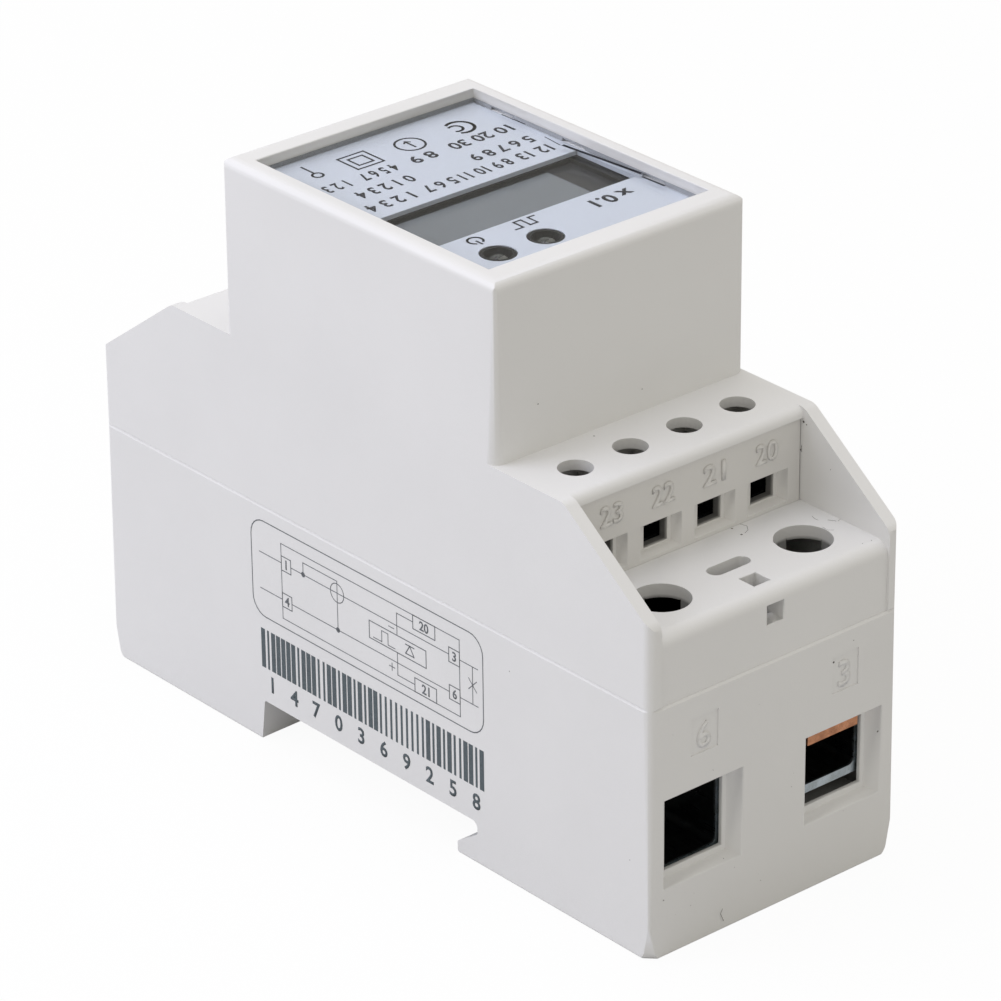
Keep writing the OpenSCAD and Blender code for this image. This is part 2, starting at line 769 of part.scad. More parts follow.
module shunt() {
    color([0.66, 0.6, 0.55]) difference() {
        slab(main_x - bar_w / 2, main_x + bar_w / 2, -shunt_l / 2, shunt_l / 2, bar_z, bar_top);
        for (s = [-1, 1]) rod(main_x + s * bar_w / 2, 0, bar_z - 1, bar_top + 1, 1);
    }
}

module pin_places() {
    for (s = [-1, 1]) translate([main_x, s * (shunt_l / 2 - 1.5), 0]) children();
    translate([-main_x, 0, 0]) children();
}

// Pins that carry the shunt voltage and the neutral up to the board.
module sense_pins() {
    color([0.8, 0.8, 0.78]) pin_places() {
        rod(0, 0, bar_top, board_top + 0.8, pin_d / 2);
        rod(0, 0, board_z - 0.6, board_z, pin_d / 2 + 0.5);
    }
}

module main_board() {
    color([0.12, 0.36, 0.22]) difference() {
        slab(-board_x, board_x, -board_y, board_y, board_z, board_top);
        pin_places() rod(0, 0, board_z - 1, board_top + 1, pin_d / 2 + hole_play);
        header_places() rod(0, 0, board_z - 1, board_top + 1, 0.55);
        for (x = [-1, 1], y = [-1, 1])
            rod(x * boss_x, y * boss_y, board_z - 1, board_top + 1, 1.2);
    }
}

module header_places() {
    for (i = [0:header_pins - 1])
        translate([(i - (header_pins - 1) / 2) * header_pitch, header_y, 0]) children();
}

module board_header() {
    color([0.1, 0.1, 0.1]) union() {
        for (z = [board_top, display_z - header_pitch])
            slab(-header_w / 2, header_w / 2, header_y - header_pitch / 2,
                header_y + header_pitch / 2, z, z + header_pitch);
        header_places() slab(-0.32, 0.32, -0.32, 0.32, board_z - 0.8, display_top + 0.6);
    }
}

module display_board() {
    color([0.12, 0.36, 0.22]) difference() {
        slab(-cavity_x + 0.6, cavity_x - 0.6, tower_in0 + 0.3, tower_in1 - 0.3,
            display_z, display_top);
        header_places() rod(0, 0, display_z - 1, display_top + 1, 0.55);
    }
}

module aux_cage(i) {
    color([0.74, 0.76, 0.79]) translate([aux_at(i), -aux_y, aux_cage_z]) difference() {
        slab(-aux_cage_w / 2, aux_cage_w / 2, -aux_cage_l / 2, aux_cage_l / 2, 0, aux_cage_h);
        along(aux_cage_l + 2) polygon(rounded([
            [-aux_cage_w / 2 + aux_cage_wall, aux_cage_floor, 0.4],
            [aux_cage_w / 2 - aux_cage_wall, aux_cage_floor, 0.4],
            [aux_cage_w / 2 - aux_cage_wall, aux_cage_h - aux_cage_top, 0.2],
            [-aux_cage_w / 2 + aux_cage_wall, aux_cage_h - aux_cage_top, 0.2]]));
        rod(0, 0, aux_cage_h / 2, aux_cage_h + 1, aux_d / 2 + run);
    }
}

module aux_screw(i) {
    x = aux_at(i);
    head_top = min(block_top - 0.05, aux_head_z + 1.3);
    color([0.8, 0.8, 0.78]) difference() {
        union() {
            rod(x, -aux_y, aux_tip_z, aux_head_z + eps, aux_d / 2);
            rod(x, -aux_y, aux_head_z, head_top, aux_head_d / 2);
        }
        slab(x - aux_head_d, x + aux_head_d, -aux_y - 0.35, -aux_y + 0.35,
            head_top - 0.7, head_top + 1);
    }
}

// Strip from inside the cage, through the wall and down to the board.
module aux_contact(i) {
    y1 = tower_in0 + 1.6;
    color([0.8, 0.72, 0.5]) translate([aux_at(i), 0, 0]) union() {
        slab(-contact_w / 2, contact_w / 2, -aux_y - aux_cage_l / 2 + 0.3, y1,
            contact_z, contact_z + contact_t);
        slab(-contact_w / 2, contact_w / 2, y1 - contact_t, y1, board_top, contact_z + contact_t);
    }
}

module aux_cage_20() {
    aux_cage(0);
}

module aux_cage_21() {
    aux_cage(1);
}

module aux_cage_22() {
    aux_cage(2);
}

module aux_cage_23() {
    aux_cage(3);
}

module aux_screw_20() {
    aux_screw(0);
}

module aux_screw_21() {
    aux_screw(1);
}

module aux_screw_22() {
    aux_screw(2);
}

module aux_screw_23() {
    aux_screw(3);
}

module aux_contact_20() {
    aux_contact(0);
}

module aux_contact_21() {
    aux_contact(1);
}

module aux_contact_22() {
    aux_contact(2);
}

module aux_contact_23() {
    aux_contact(3);
}

module on_board(x, y) {
    translate([x, y, board_top]) children();
}

module film_capacitor() {
    color([0.85, 0.75, 0.2]) on_board(-part_x, film[1] / 2 + 1.5) linear_extrude(film[2])
        box_outline(film[0] / 2, -film[1] / 2, film[1] / 2, 0.8);
}

module electrolytic_capacitor() {
    color([0.12, 0.13, 0.2]) on_board(part_x - 3.15, -can_d / 2 - 3.5) rotate_extrude()
        polygon(rounded([[0, 0, 0], [can_d / 2, 0, 0.4], [can_d / 2, can_h, 0.5], [0, can_h, 0]]));
}

module varistor() {
    color([0.15, 0.3, 0.6]) on_board(-part_x, -disc_d) union() {
        translate([0, 0, disc_d / 2 + 1]) rotate([0, 90, 0])
            cylinder(h = disc_t, r = disc_d / 2, center = true);
        for (s = [-1, 1]) rod(0, s * disc_d / 3, 0, disc_d / 2, 0.4);
    }
}

module optocoupler(side) {
    half = opto_w / 2;
    color([0.1, 0.1, 0.1]) on_board(side * opto_x, -opto_y) along(opto_l) polygon([
        [-half, 0.4], [-half, 0], [half, 0], [half, 0.4], [half - 0.2, opto_h], [0.2 - half, opto_h]]);
}

module optocoupler_a() {
    optocoupler(1);
}

module optocoupler_b() {
    optocoupler(-1);
}

// Black body with a row of legs on both sides.
module metering_chip() {
    color([0.1, 0.1, 0.1]) on_board(chip[0] / 2 - 0.3, chip[1] / 2 - 2.2) union() {
        linear_extrude(chip[2]) square([chip[0], chip[1]], center = true);
        for (i = [0:9], s = [-1, 1])
            translate([s * (chip[0] / 2 + 0.65), (i - 4.5) * chip[1] / 10, 0.4])
                cube([1.3, 0.42, 0.8], center = true);
    }
}

module crystal() {
    color([0.75, 0.76, 0.78]) on_board(part_x - 0.95, header_y - 4.8) linear_extrude(can_crystal[2])
        box_outline(can_crystal[0] / 2, -can_crystal[1] / 2, can_crystal[1] / 2, 2);
}

// Square package under the display board, with legs on all four sides.
module microcontroller() {
    out = logic[0] / 2 + 0.5;
    color([0.1, 0.1, 0.1]) translate([logic_at[0], logic_at[1], display_z - logic[2]]) union() {
        linear_extrude(logic[2]) square([logic[0], logic[1]], center = true);
        for (i = [0:10], s = [-1, 1]) {
            along_edge = (i - 5) * logic[0] / 12.5;
            translate([s * out, along_edge, logic[2] - 0.2]) cube([1.2, 0.35, 0.4], center = true);
            translate([along_edge, s * out, logic[2] - 0.2]) cube([0.35, 1.2, 0.4], center = true);
        }
    }
}

lower_housing();
upper_housing();
aux_terminal_block();
display_lens();
face_plate();
lcd_frame();
lcd_display();
led_holder();
led_power();
led_pulse();
din_clip();
clip_spring();
main_cage_1();
main_cage_3();
main_cage_4();
main_cage_6();
main_screw_1();
main_screw_3();
main_screw_4();
main_screw_6();
live_in_busbar();
live_out_busbar();
shunt();
neutral_busbar();
aux_cage_20();
aux_cage_21();
aux_cage_22();
aux_cage_23();
aux_screw_20();
aux_screw_21();
aux_screw_22();
aux_screw_23();
aux_contact_20();
aux_contact_21();
aux_contact_22();
aux_contact_23();
main_board();
display_board();
board_header();
sense_pins();
film_capacitor();
electrolytic_capacitor();
varistor();
optocoupler_a();
optocoupler_b();
metering_chip();
crystal();
microcontroller();
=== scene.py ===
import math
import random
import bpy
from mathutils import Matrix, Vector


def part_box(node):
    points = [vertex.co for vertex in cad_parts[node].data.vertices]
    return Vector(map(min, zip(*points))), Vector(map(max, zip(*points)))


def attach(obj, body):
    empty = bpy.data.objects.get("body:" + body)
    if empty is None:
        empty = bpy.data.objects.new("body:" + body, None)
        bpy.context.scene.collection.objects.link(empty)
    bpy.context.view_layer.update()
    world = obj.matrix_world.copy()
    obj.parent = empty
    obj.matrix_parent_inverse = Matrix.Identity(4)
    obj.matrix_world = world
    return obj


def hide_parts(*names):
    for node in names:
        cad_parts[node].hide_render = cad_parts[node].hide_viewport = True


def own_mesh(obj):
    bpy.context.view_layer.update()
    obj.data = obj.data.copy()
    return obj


bl_info = {
    "name": "Rail Energy Meter",
    "version": (1, 0, 0),
    "blender": (4, 5, 0),
    "location": "3D View > Sidebar > Meter",
    "description": "Finishes a rail-mounted energy meter: moulded shells, window, print, terminals and stage",
    "category": "Object",
}

from functools import cache

import bmesh
import bpy
from bpy.props import FloatProperty, FloatVectorProperty, IntProperty, PointerProperty
from mathutils import Matrix, Vector

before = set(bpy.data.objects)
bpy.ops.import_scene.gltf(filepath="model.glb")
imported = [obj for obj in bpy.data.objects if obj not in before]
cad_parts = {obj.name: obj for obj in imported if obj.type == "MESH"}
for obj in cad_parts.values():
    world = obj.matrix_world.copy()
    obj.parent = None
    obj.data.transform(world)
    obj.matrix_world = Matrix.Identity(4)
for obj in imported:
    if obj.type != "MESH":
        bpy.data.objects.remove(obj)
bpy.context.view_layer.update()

MM = 0.001
ROOT = "housing"
MAIN = (1, 3, 4, 6)
AUX = (20, 21, 22, 23)

# Radius, pitch and cage edge rounding of the two kinds of terminal
MAIN_TERMINAL = (0.0025, 0.0008, 0.00015)
AUX_TERMINAL = (0.0015, 0.0005, 0.0001)
LATCH_EDGE = 0.00015
STRIP_EDGE = 0.0001
SHARP_ANGLE = 40

# Faces of the housing that carry print, numerals and marks, in metres from the middle or the floor
DECK_TOP = 0.0378
SHOULDER_TOP = 0.0488
NEAR_FACE = 0.04586
NUMERAL_FACE = 0.04564
CHEEK_FACE = 0.0161
TOWER_FACE = 0.022
SIDE_FACE = 0.01755
SIDE_TAPER = 0.15 / 29.5
FOOT_HALF_Y = 0.0457

# Thickness of print and of dirt, and the least gap under them, in metres
INK = 8e-6
DIRT = 6e-6
LIFT = 4e-6

# Directions along the faces
RIGHT = (1, 0, 0)
LEFT = (-1, 0, 0)
FAR = (0, 1, 0)
NEAR = (0, -1, 0)
UP = (0, 0, 1)

WHITE = (1, 1, 1, 1)
CAMERA_PLACE = (-0.34547, -0.40537, 0.29704)
CAMERA_LOOK = (0.58204, 0.67939, -0.44683)
CAMERA_ROLL = -0.50
CAMERA_ANGLE = 10.48
SENSOR = 36

HAIRS = (
    # plane, width and points in mm
    ("deck", 0.045, [(8.31, -31.71), (7.43, -32.18), (7.66, -33.01), (7.1, -33.76), (6.39, -34.06)]),
    ("deck", 0.04, [(14.38, -35.87), (14.13, -36.59), (14.21, -36.97)]),
    ("deck", 0.06, [(14.99, -37.67), (15.46, -38.4)]),
    ("deck", 0.03, [(15.62, -38.54), (16.42, -38.31), (17.15, -38.01)]),
    ("deck", 0.03, [(13.39, -38.43), (13.37, -39.35), (13.84, -39.77)]),
    ("near", 0.05, [(-7.29, 2.66), (-7.57, 2.16), (-7.12, 1.13)]),
    ("cheek", 0.06, [(-32.33, 44.21), (-32.35, 43.51)]),
)
SPECKS = (
    # plane, radius and place in mm
    ("deck", 0.13, (5.88, -34.07)),
    ("deck", 0.06, (15.1, -44.1)),
    ("deck", 0.05, (13.9, -44.0)),
    ("shoulder", 0.09, (-5.0, -23.03)),
    ("shoulder", 0.04, (-11.71, -25.28)),
    ("near", 0.12, (8.24, 26.47)),
    ("near", 0.11, (15.01, 15.73)),
    ("near", 0.05, (11.11, 28.06)),
    ("near", 0.05, (-7.21, 8.75)),
    ("near", 0.07, (-15.67, 7.0)),
    ("near", 0.04, (-11.85, 4.89)),
    ("near", 0.04, (-1.82, 3.98)),
    ("side", 0.06, (23.95, 25.87)),
    ("side", 0.05, (42.76, 11.24)),
    ("cheek", 0.14, (-32.57, 47.11)),
    ("cheek", 0.08, (-33.03, 46.93)),
    ("cheek", 0.09, (-32.19, 43.69)),
    ("cheek", 0.05, (-36.78, 43.02)),
    ("tower", 0.06, (2.66, 51.44)),
    ("tower", 0.06, (11.25, 48.72)),
    ("tower", 0.07, (-11.82, 54.30)),
)
NOTCHES = (
    # start, end and width in mm of the dark lines along the lens edge
    ((14.28, 13.70), (14.37, 10.01), 0.16),
    ((13.62, 5.85), (13.35, 3.09), 0.14),
    ((13.58, 2.70), (14.63, -8.36), 0.42),
    ((14.14, -9.37), (14.26, -12.56), 0.30),
)


# Sizes and colours that a user would change


def colour_setting(name, description, default):
    return FloatVectorProperty(
        name=name, description=description, subtype="COLOR", size=3, min=0, max=1, default=default
    )


def length_setting(name, description, default, low, high):
    return FloatProperty(
        name=name,
        description=description,
        default=default,
        min=low,
        max=high,
        subtype="DISTANCE",
        precision=6,
    )


def share_setting(name, description, default):
    return FloatProperty(name=name, description=description, default=default, min=0, max=1, subtype="FACTOR")


def power_setting(name, description, default):
    return FloatProperty(name=name, description=description, default=default, min=0, max=50, unit="POWER")


class MeterMouldings(bpy.types.PropertyGroup):
    base_colour: colour_setting("Base colour", "Colour of the lower half", (0.76, 0.757, 0.75))
    cover_colour: colour_setting("Cover colour", "Colour of the upper half", (0.765, 0.762, 0.755))
    block_colour: colour_setting("Block colour", "Colour of the auxiliary terminal block", (0.70, 0.69, 0.67))
    clip_colour: colour_setting("Latch colour", "Colour of the rail latch", (0.045, 0.047, 0.05))
    edge_radius: length_setting("Edge radius", "Rounding of the small moulded edges", 0.00014, 0, 0.001)
    grain_depth: length_setting("Grain depth", "Depth of the satin mould grain", 0.00001, 0, 0.0001)
    # Painted shade: brightness left on walls deep inside the openings
    inner_shade: share_setting("Inner shade", "Brightness left on walls deep inside the openings", 0.2)
    specks: share_setting("Specks", "Share of grain cells with a dark speck", 0.02)


class MeterFace(bpy.types.PropertyGroup):
    plate_colour: colour_setting("Plate colour", "Silvery film of the face plate", (0.46, 0.49, 0.53))
    display_colour: colour_setting("Display colour", "Viewing area of the display", (0.135, 0.148, 0.155))
    surround_colour: colour_setting("Surround colour", "Dark edge of the display", (0.022, 0.023, 0.025))
    lens_gap: length_setting("Lens gap", "Air between the film and the lens", 0.00006, 0.00002, 0.0003)
    ink_colour: colour_setting("Ink colour", "Printing on the film", (0.012, 0.013, 0.018))
    numeral_height: length_setting("Numeral height", "Height of the small numerals", 0.0022, 0.001, 0.004)


class MeterSidePrint(bpy.types.PropertyGroup):
    line_width: length_setting("Line width", "Width of the wiring diagram's lines", 0.0001, 0.00005, 0.0004)
    line_colour: colour_setting("Line colour", "Colour of the diagram", (0.15, 0.16, 0.17))
    bar_colour: colour_setting("Bar colour", "Colour of the bars and their numerals", (0.10, 0.12, 0.13))
    bars: IntProperty(name="Bars", description="Number of bars in the row", default=43, min=4, max=80)
    seed: IntProperty(name="Seed", description="Pattern of wide and narrow bars", default=11, min=0, max=999)


class MeterMetals(bpy.types.PropertyGroup):
    copper: colour_setting("Copper", "Colour of the busbars", (0.75, 0.36, 0.20))
    zinc: colour_setting("Zinc", "Colour of the plated cages", (0.60, 0.68, 0.74))
    steel: colour_setting("Steel", "Colour of the screws and the spring", (0.55, 0.55, 0.55))
    ridge: length_setting("Thread ridge", "Height of the screw thread's ridge", 0.00035, 0.0001, 0.0006)


class MeterStage(bpy.types.PropertyGroup):
    key: power_setting("Key light", "Power of the soft box beside the meter", 2.35)
    top: power_setting("Top light", "Power of the soft box above", 1.69)
    sky: FloatProperty(name="Sky", description="Even light from all round", default=0.684, min=0, max=2)
    floor_colour: colour_setting("Floor colour", "Colour of the floor", (0.55, 0.55, 0.55))
    shadow: share_setting("Shadow", "How much of the floor's own shading the camera sees", 0.08)


# Meshes


def new_object(name, data):
    made = bpy.data.objects.new(name, data)
    bpy.context.scene.collection.objects.link(made)
    return made


def plain_mesh(holder):
    """The object's shape after its modifiers, as a mesh of its own."""
    bpy.context.view_layer.update()
    return bpy.data.meshes.new_from_object(holder.evaluated_get(bpy.context.evaluated_depsgraph_get()))


def put(name, mesh, body=ROOT, instead=()):
    """Links a finished mesh as a piece that rides on a body."""
    piece = new_object(name, mesh)
    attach(piece, body)
    if instead:
        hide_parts(*instead)
    return piece


def mesh_of(bm, name, materials=(), smooth=0):
    """Turns the shape into a mesh, smooth up to an angle in degrees where one is given."""
    mesh = bpy.data.meshes.new(name)
    bm.to_mesh(mesh)
    bm.free()
    for m in materials:
        mesh.materials.append(m)
    if smooth:
        mesh.shade_smooth()
        mesh.set_sharp_from_angle(angle=math.radians(smooth))
    return mesh


def merged(node):
    """A clean copy of a CAD node with its flat faces joined."""
    bm = bmesh.new()
    bm.from_mesh(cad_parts[node].data)
    bmesh.ops.remove_doubles(bm, verts=bm.verts, dist=2e-6)
    bmesh.ops.dissolve_degenerate(bm, edges=bm.edges, dist=1e-6)
    bmesh.ops.dissolve_limit(bm, angle_limit=math.radians(0.4), verts=bm.verts, edges=bm.edges)
    return bm


def middle_of(node):
    """The X and Y of a node's middle."""
    lo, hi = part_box(node)
    return (lo.x + hi.x) / 2, (lo.y + hi.y) / 2


def box_into(bm, lo, hi, place=Matrix.Identity(4)):
    centre = (Vector(lo) + Vector(hi)) / 2
    size = Vector(hi) - Vector(lo)
    grid = place @ Matrix.Translation(centre) @ Matrix.Diagonal((size.x, size.y, size.z, 1))
    bmesh.ops.create_cube(bm, size=1, matrix=grid)


def face_on(origin, along, up):
    """A place whose x runs along, whose y runs up and whose z points out of the face."""
    u = Vector(along).normalized()
    v = Vector(up).normalized()
    n = u.cross(v)
    place = Matrix((u, v, n)).transposed().to_4x4()
    place.translation = Vector(origin)
    return place


def words_into(bm, words, place, at, height, width=None, depth=INK, bold=0.0):
    """Adds lettering, centred on a point of the face, with its height and if given its whole width."""
    curve = bpy.data.curves.new("lettering", "FONT")
    curve.body = words
    curve.size = 1
    curve.align_x = "CENTER"
    curve.align_y = "CENTER"
    curve.resolution_u = 3
    curve.offset = bold
    holder = new_object("lettering", curve)
    flat = plain_mesh(holder)
    bpy.data.objects.remove(holder)
    bpy.data.curves.remove(curve)
    xs = [v.co.x for v in flat.vertices]
    ys = [v.co.y for v in flat.vertices]
    grow_y = height / (max(ys) - min(ys))
    grow_x = width / (max(xs) - min(xs)) if width else grow_y
    shift = Matrix.Translation((-(max(xs) + min(xs)) / 2, -(max(ys) + min(ys)) / 2, 0))
    letters = bmesh.new()
    letters.from_mesh(flat)
    bpy.data.meshes.remove(flat)
    bmesh.ops.remove_doubles(letters, verts=letters.verts, dist=1e-5)
    letters.transform(place @ Matrix.Translation((*at, 0)) @ Matrix.Diagonal((grow_x, grow_y, 1, 1)) @ shift)
    bmesh.ops.recalc_face_normals(letters, faces=letters.faces)
    out = place.to_3x3() @ Vector(UP)
    if letters.faces and letters.faces[0].normal.dot(out) < 0:
        bmesh.ops.reverse_faces(letters, faces=letters.faces)
    raised = bmesh.ops.extrude_face_region(letters, geom=letters.faces[:])
    lifted = [g for g in raised["geom"] if isinstance(g, bmesh.types.BMVert)]
    bmesh.ops.translate(letters, verts=lifted, vec=out * depth)
    bmesh.ops.recalc_face_normals(letters, faces=letters.faces)
    solid = mesh_of(letters, "lettering")
    bm.from_mesh(solid)
    bpy.data.meshes.remove(solid)


def line_into(bm, place, points, width, depth=INK, closed=False):
    """Adds a printed line through points of the face."""
    ends = points[1:] + points[:1] if closed else points[1:]
    for a, b in zip(points, ends):
        a, b = Vector((*a, 0)), Vector((*b, 0))
        run = b - a
        turn = Matrix.Rotation(math.atan2(run.y, run.x), 4, "Z")
        half = run.length / 2 + width / 2
        spot = place @ Matrix.Translation((a + b) / 2) @ turn
        box_into(bm, (-half, -width / 2, 0), (half, width / 2, depth), spot)


def arc(centre, radius, start, end, steps):
    """Points of an arc, with its angles in degrees."""
    turns = [math.radians(start + (end - start) * i / steps) for i in range(steps + 1)]
    return [(centre[0] + radius * math.cos(t), centre[1] + radius * math.sin(t)) for t in turns]


def disc_into(bm, place, at, radius, depth=INK, sides=20):
    spot = place @ Matrix.Translation((*at, depth / 2))
    bmesh.ops.create_cone(
        bm, cap_ends=True, segments=sides, radius1=radius, radius2=radius, depth=depth, matrix=spot
    )


# Node trees


class Nodes:
    """A node tree, with short ways to add nodes and to feed their inputs."""

    def __init__(self, tree):
        self.tree = tree

    def feed(self, socket, value):
        """Joins an output to the socket, or sets the socket's own value."""
        if isinstance(value, bpy.types.NodeSocket):
            self.tree.links.new(value, socket)
        else:
            socket.default_value = value

    def add(self, kind, feeds=None, **settings):
        node = self.tree.nodes.new(kind)
        for key, value in settings.items():
            setattr(node, key, value)
        for key, value in (feeds or {}).items():
            self.feed(node.inputs[key], value)
        return node

    def maths(self, operation, *values, **settings):
        return self.add("ShaderNodeMath", dict(enumerate(values)), operation=operation, **settings).outputs[0]

    def ranged(self, value, from_low, from_high, to_low, to_high):
        """The value carried from one range over to another."""
        limits = (value, from_low, from_high, to_low, to_high)
        return self.add("ShaderNodeMapRange", dict(enumerate(limits))).outputs[0]

    def place(self):
        return self.add("ShaderNodeTexCoord").outputs["Object"]

    def noise(self, scale, detail=2.0):
        pattern = {"Vector": self.place(), "Scale": scale, "Detail": detail}
        return self.add("ShaderNodeTexNoise", pattern).outputs[0]

    def cells(self, scale):
        """The distance from the nearest cell's middle, and a random value for each cell."""
        pattern = self.add("ShaderNodeTexVoronoi", {"Vector": self.place(), "Scale": scale})
        split = self.add("ShaderNodeSeparateColor", {0: pattern.outputs["Color"]})
        return pattern.outputs["Distance"], split.outputs[0]

    def scaled(self, colour, level):
        return self.add("ShaderNodeVectorMath", {0: colour, "Scale": level}, operation="SCALE").outputs[0]

    def mixed(self, mask, outside, within):
        """One colour where the mask is 0 and the other where it is 1."""
        return self.add("ShaderNodeMix", {0: mask, 6: outside, 7: within}, data_type="RGBA").outputs[2]


class Group(Nodes):
    """A node group whose named inputs are given with their defaults."""

    kinds = {
        float: "NodeSocketFloat",
        int: "NodeSocketInt",
        tuple: "NodeSocketColor",
        type(None): "NodeSocketMaterial",
    }

    def __init__(self, name, kind, **inputs):
        super().__init__(bpy.data.node_groups.new(name, kind))
        self.keys = {}
        for key, value in inputs.items():
            socket = self.socket(key, "INPUT", self.kinds[type(value)])
            if value is not None:
                socket.default_value = value
            self.keys[key] = socket.identifier
        self.inputs = self.add("NodeGroupInput")

    def socket(self, key, side, kind):
        return self.tree.interface.new_socket(key.replace("_", " "), in_out=side, socket_type=kind)

    def given(self, key):
        return self.inputs.outputs[key]

    def finish(self, **outputs):
        """Gives a shader group its outputs and returns its tree."""
        for key in outputs:
            self.socket(key, "OUTPUT", "NodeSocketColor" if key == "Colour" else "NodeSocketFloat")
        self.add("NodeGroupOutput", outputs)
        return self.tree


class Tree(Group):
    """A geometry tree with named inputs, which ends in real faces with a material."""

    def __init__(self, name, **inputs):
        super().__init__(name, "GeometryNodeTree", **inputs)

    def finish(self, geometry):
        self.socket("Geometry", "OUTPUT", "NodeSocketGeometry")
        real = self.add("GeometryNodeRealizeInstances", {0: geometry})
        feeds = {"Geometry": real.outputs[0], "Material": self.given("Material")}
        paint = self.add("GeometryNodeSetMaterial", feeds)
        self.add("NodeGroupOutput", {0: paint.outputs[0]})
        return self

    def grow(self, place, **values):
        """The tree's result as a plain mesh, put in its place."""
        holder = new_object("holder", bpy.data.meshes.new("holder"))
        step = holder.modifiers.new("grow", "NODES")
        step.node_group = self.tree
        for key, value in values.items():
            step[self.keys[key]] = value
        mesh = plain_mesh(holder)
        bpy.data.objects.remove(holder)
        mesh.transform(place)
        return mesh


@cache
def coil():
    """A round wire or a ridge that winds up along Z."""
    sizes = {"Radius": 0.001, "Pitch": 0.0008, "Turns": 7.0, "Thickness": 0.0002}
    t = Tree("wound coil", **sizes, Sides=8, Steps=24, Material=None)
    path = {
        "Resolution": t.given("Steps"),
        "Rotations": t.given("Turns"),
        "Start Radius": t.given("Radius"),
        "End Radius": t.given("Radius"),
        "Height": t.maths("MULTIPLY", t.given("Pitch"), t.given("Turns")),
    }
    spiral = t.add("GeometryNodeCurveSpiral", path)
    ring = {"Resolution": t.given("Sides"), "Radius": t.given("Thickness")}
    outline = t.add("GeometryNodeCurvePrimitiveCircle", ring, mode="RADIUS")
    feeds = {"Curve": spiral.outputs[0], "Profile Curve": outline.outputs[0], "Fill Caps": True}
    return t.finish(t.add("GeometryNodeCurveToMesh", feeds).outputs[0])


@cache
def bars():
    """A row of upright bars along X, some wide and some narrow."""
    sizes = {"Length": 0.038, "Height": 0.005, "Narrow": 0.0004, "Wide": 0.0011}
    t = Tree("printed bars", **sizes, Bars=29, Seed=1, Material=None)
    wide_share, thickness = 0.45, 1.2e-5
    pitch = t.maths("DIVIDE", t.given("Length"), t.maths("SUBTRACT", t.given("Bars"), 1))
    offset = t.add("ShaderNodeCombineXYZ", {"X": pitch})
    start = t.add("ShaderNodeCombineXYZ", {"X": t.maths("MULTIPLY", t.given("Length"), -0.5)})
    line = {"Count": t.given("Bars"), "Offset": offset.outputs[0], "Start Location": start.outputs[0]}
    row = t.add("GeometryNodeMeshLine", line, mode="OFFSET")
    pick = t.add("FunctionNodeRandomValue", {"Seed": t.given("Seed")}, data_type="FLOAT")
    wide = t.maths("GREATER_THAN", pick.outputs["Value"], 1 - wide_share)
    extra = t.maths("MULTIPLY", wide, t.maths("SUBTRACT", t.given("Wide"), t.given("Narrow")))
    width = t.maths("ADD", t.given("Narrow"), extra)
    size = t.add("ShaderNodeCombineXYZ", {"X": width, "Y": t.given("Height"), "Z": thickness})
    cube = t.add("GeometryNodeMeshCube")
    feeds = {"Points": row.outputs[0], "Instance": cube.outputs[0], "Scale": size.outputs[0]}
    return t.finish(t.add("GeometryNodeInstanceOnPoints", feeds).outputs[0])


# Finishes


class Finish(Nodes):
    """One procedural material, read from Object coordinates."""

    def __init__(self, name, colour, roughness=0.5, metallic=0.0, **plain):
        self.material = bpy.data.materials.new(name)
        self.material.use_nodes = True
        self.material.diffuse_color = (*colour, 1)
        super().__init__(self.material.node_tree)
        self.shader = self.tree.nodes["Principled BSDF"]
        self.to((*colour, 1), "Base Color")
        self.to(roughness, "Roughness")
        self.to(metallic, "Metallic")
        for key, value in plain.items():
            self.to(value, key.replace("_", " "))

    def to(self, value, key):
        self.feed(self.shader.inputs[key], value)

    def bump(self, height, depth):
        node = self.add("ShaderNodeBump", {"Distance": depth, "Height": height})
        self.to(node.outputs[0], "Normal")

    def two_tone(self, value, low, high, start=0.0, end=1.0):
        """Colours the surface from the low colour to the high one as the value rises."""
        ramp = self.add("ShaderNodeValToRGB", {0: value})
        for stop, position, tone in zip(ramp.color_ramp.elements, (start, end), (low, high)):
            stop.position = position
            stop.color = (*tone, 1)
        self.to(ramp.outputs[0], "Base Color")

    def inside(self, lo, hi, soft=0.00015):
        """A mask that is 1 within a rectangle of the piece's own X and Y."""
        parts = self.add("ShaderNodeSeparateXYZ", {0: self.place()})
        whole = None
        for axis in (0, 1):
            for edge, before, after in ((lo[axis], 0, 1), (hi[axis], 1, 0)):
                ramp = self.ranged(parts.outputs[axis], edge - soft, edge + soft, before, after)
                whole = self.maths("MULTIPLY", whole, ramp) if whole else ramp
        return whole

    def worn(self, group, feeds, depth, painted_shade_box):
        """Takes colour, roughness and relief from a shader group, with painted shade darkening the colour
        inside the given box.
        """
        g = self.add("ShaderNodeGroup", feeds, node_tree=group)
        colour = g.outputs["Colour"]
        # Painted shade: the colour is scaled down inside the box
        if painted_shade_box:
            shade = self.add("ShaderNodeGroup", painted_shade_box, node_tree=depth_shade())
            colour = self.scaled(colour, shade.outputs["Level"])
        self.to(colour, "Base Color")
        self.to(g.outputs["Roughness"], "Roughness")
        self.bump(g.outputs["Height"], depth)
        return self.material

    def covered(self, mask, shader):
        """Shows another shader instead of this one where the mask is 1."""
        mix = self.add("ShaderNodeMixShader", {0: mask, 1: self.shader.outputs[0], 2: shader.outputs[0]})
        self.feed(self.tree.nodes["Material Output"].inputs["Surface"], mix.outputs[0])

    def lamps_pass(self):
        """Lets lamps shine through clear plastic."""
        path = self.add("ShaderNodeLightPath")
        self.covered(path.outputs["Is Shadow Ray"], self.add("ShaderNodeBsdfTransparent"))


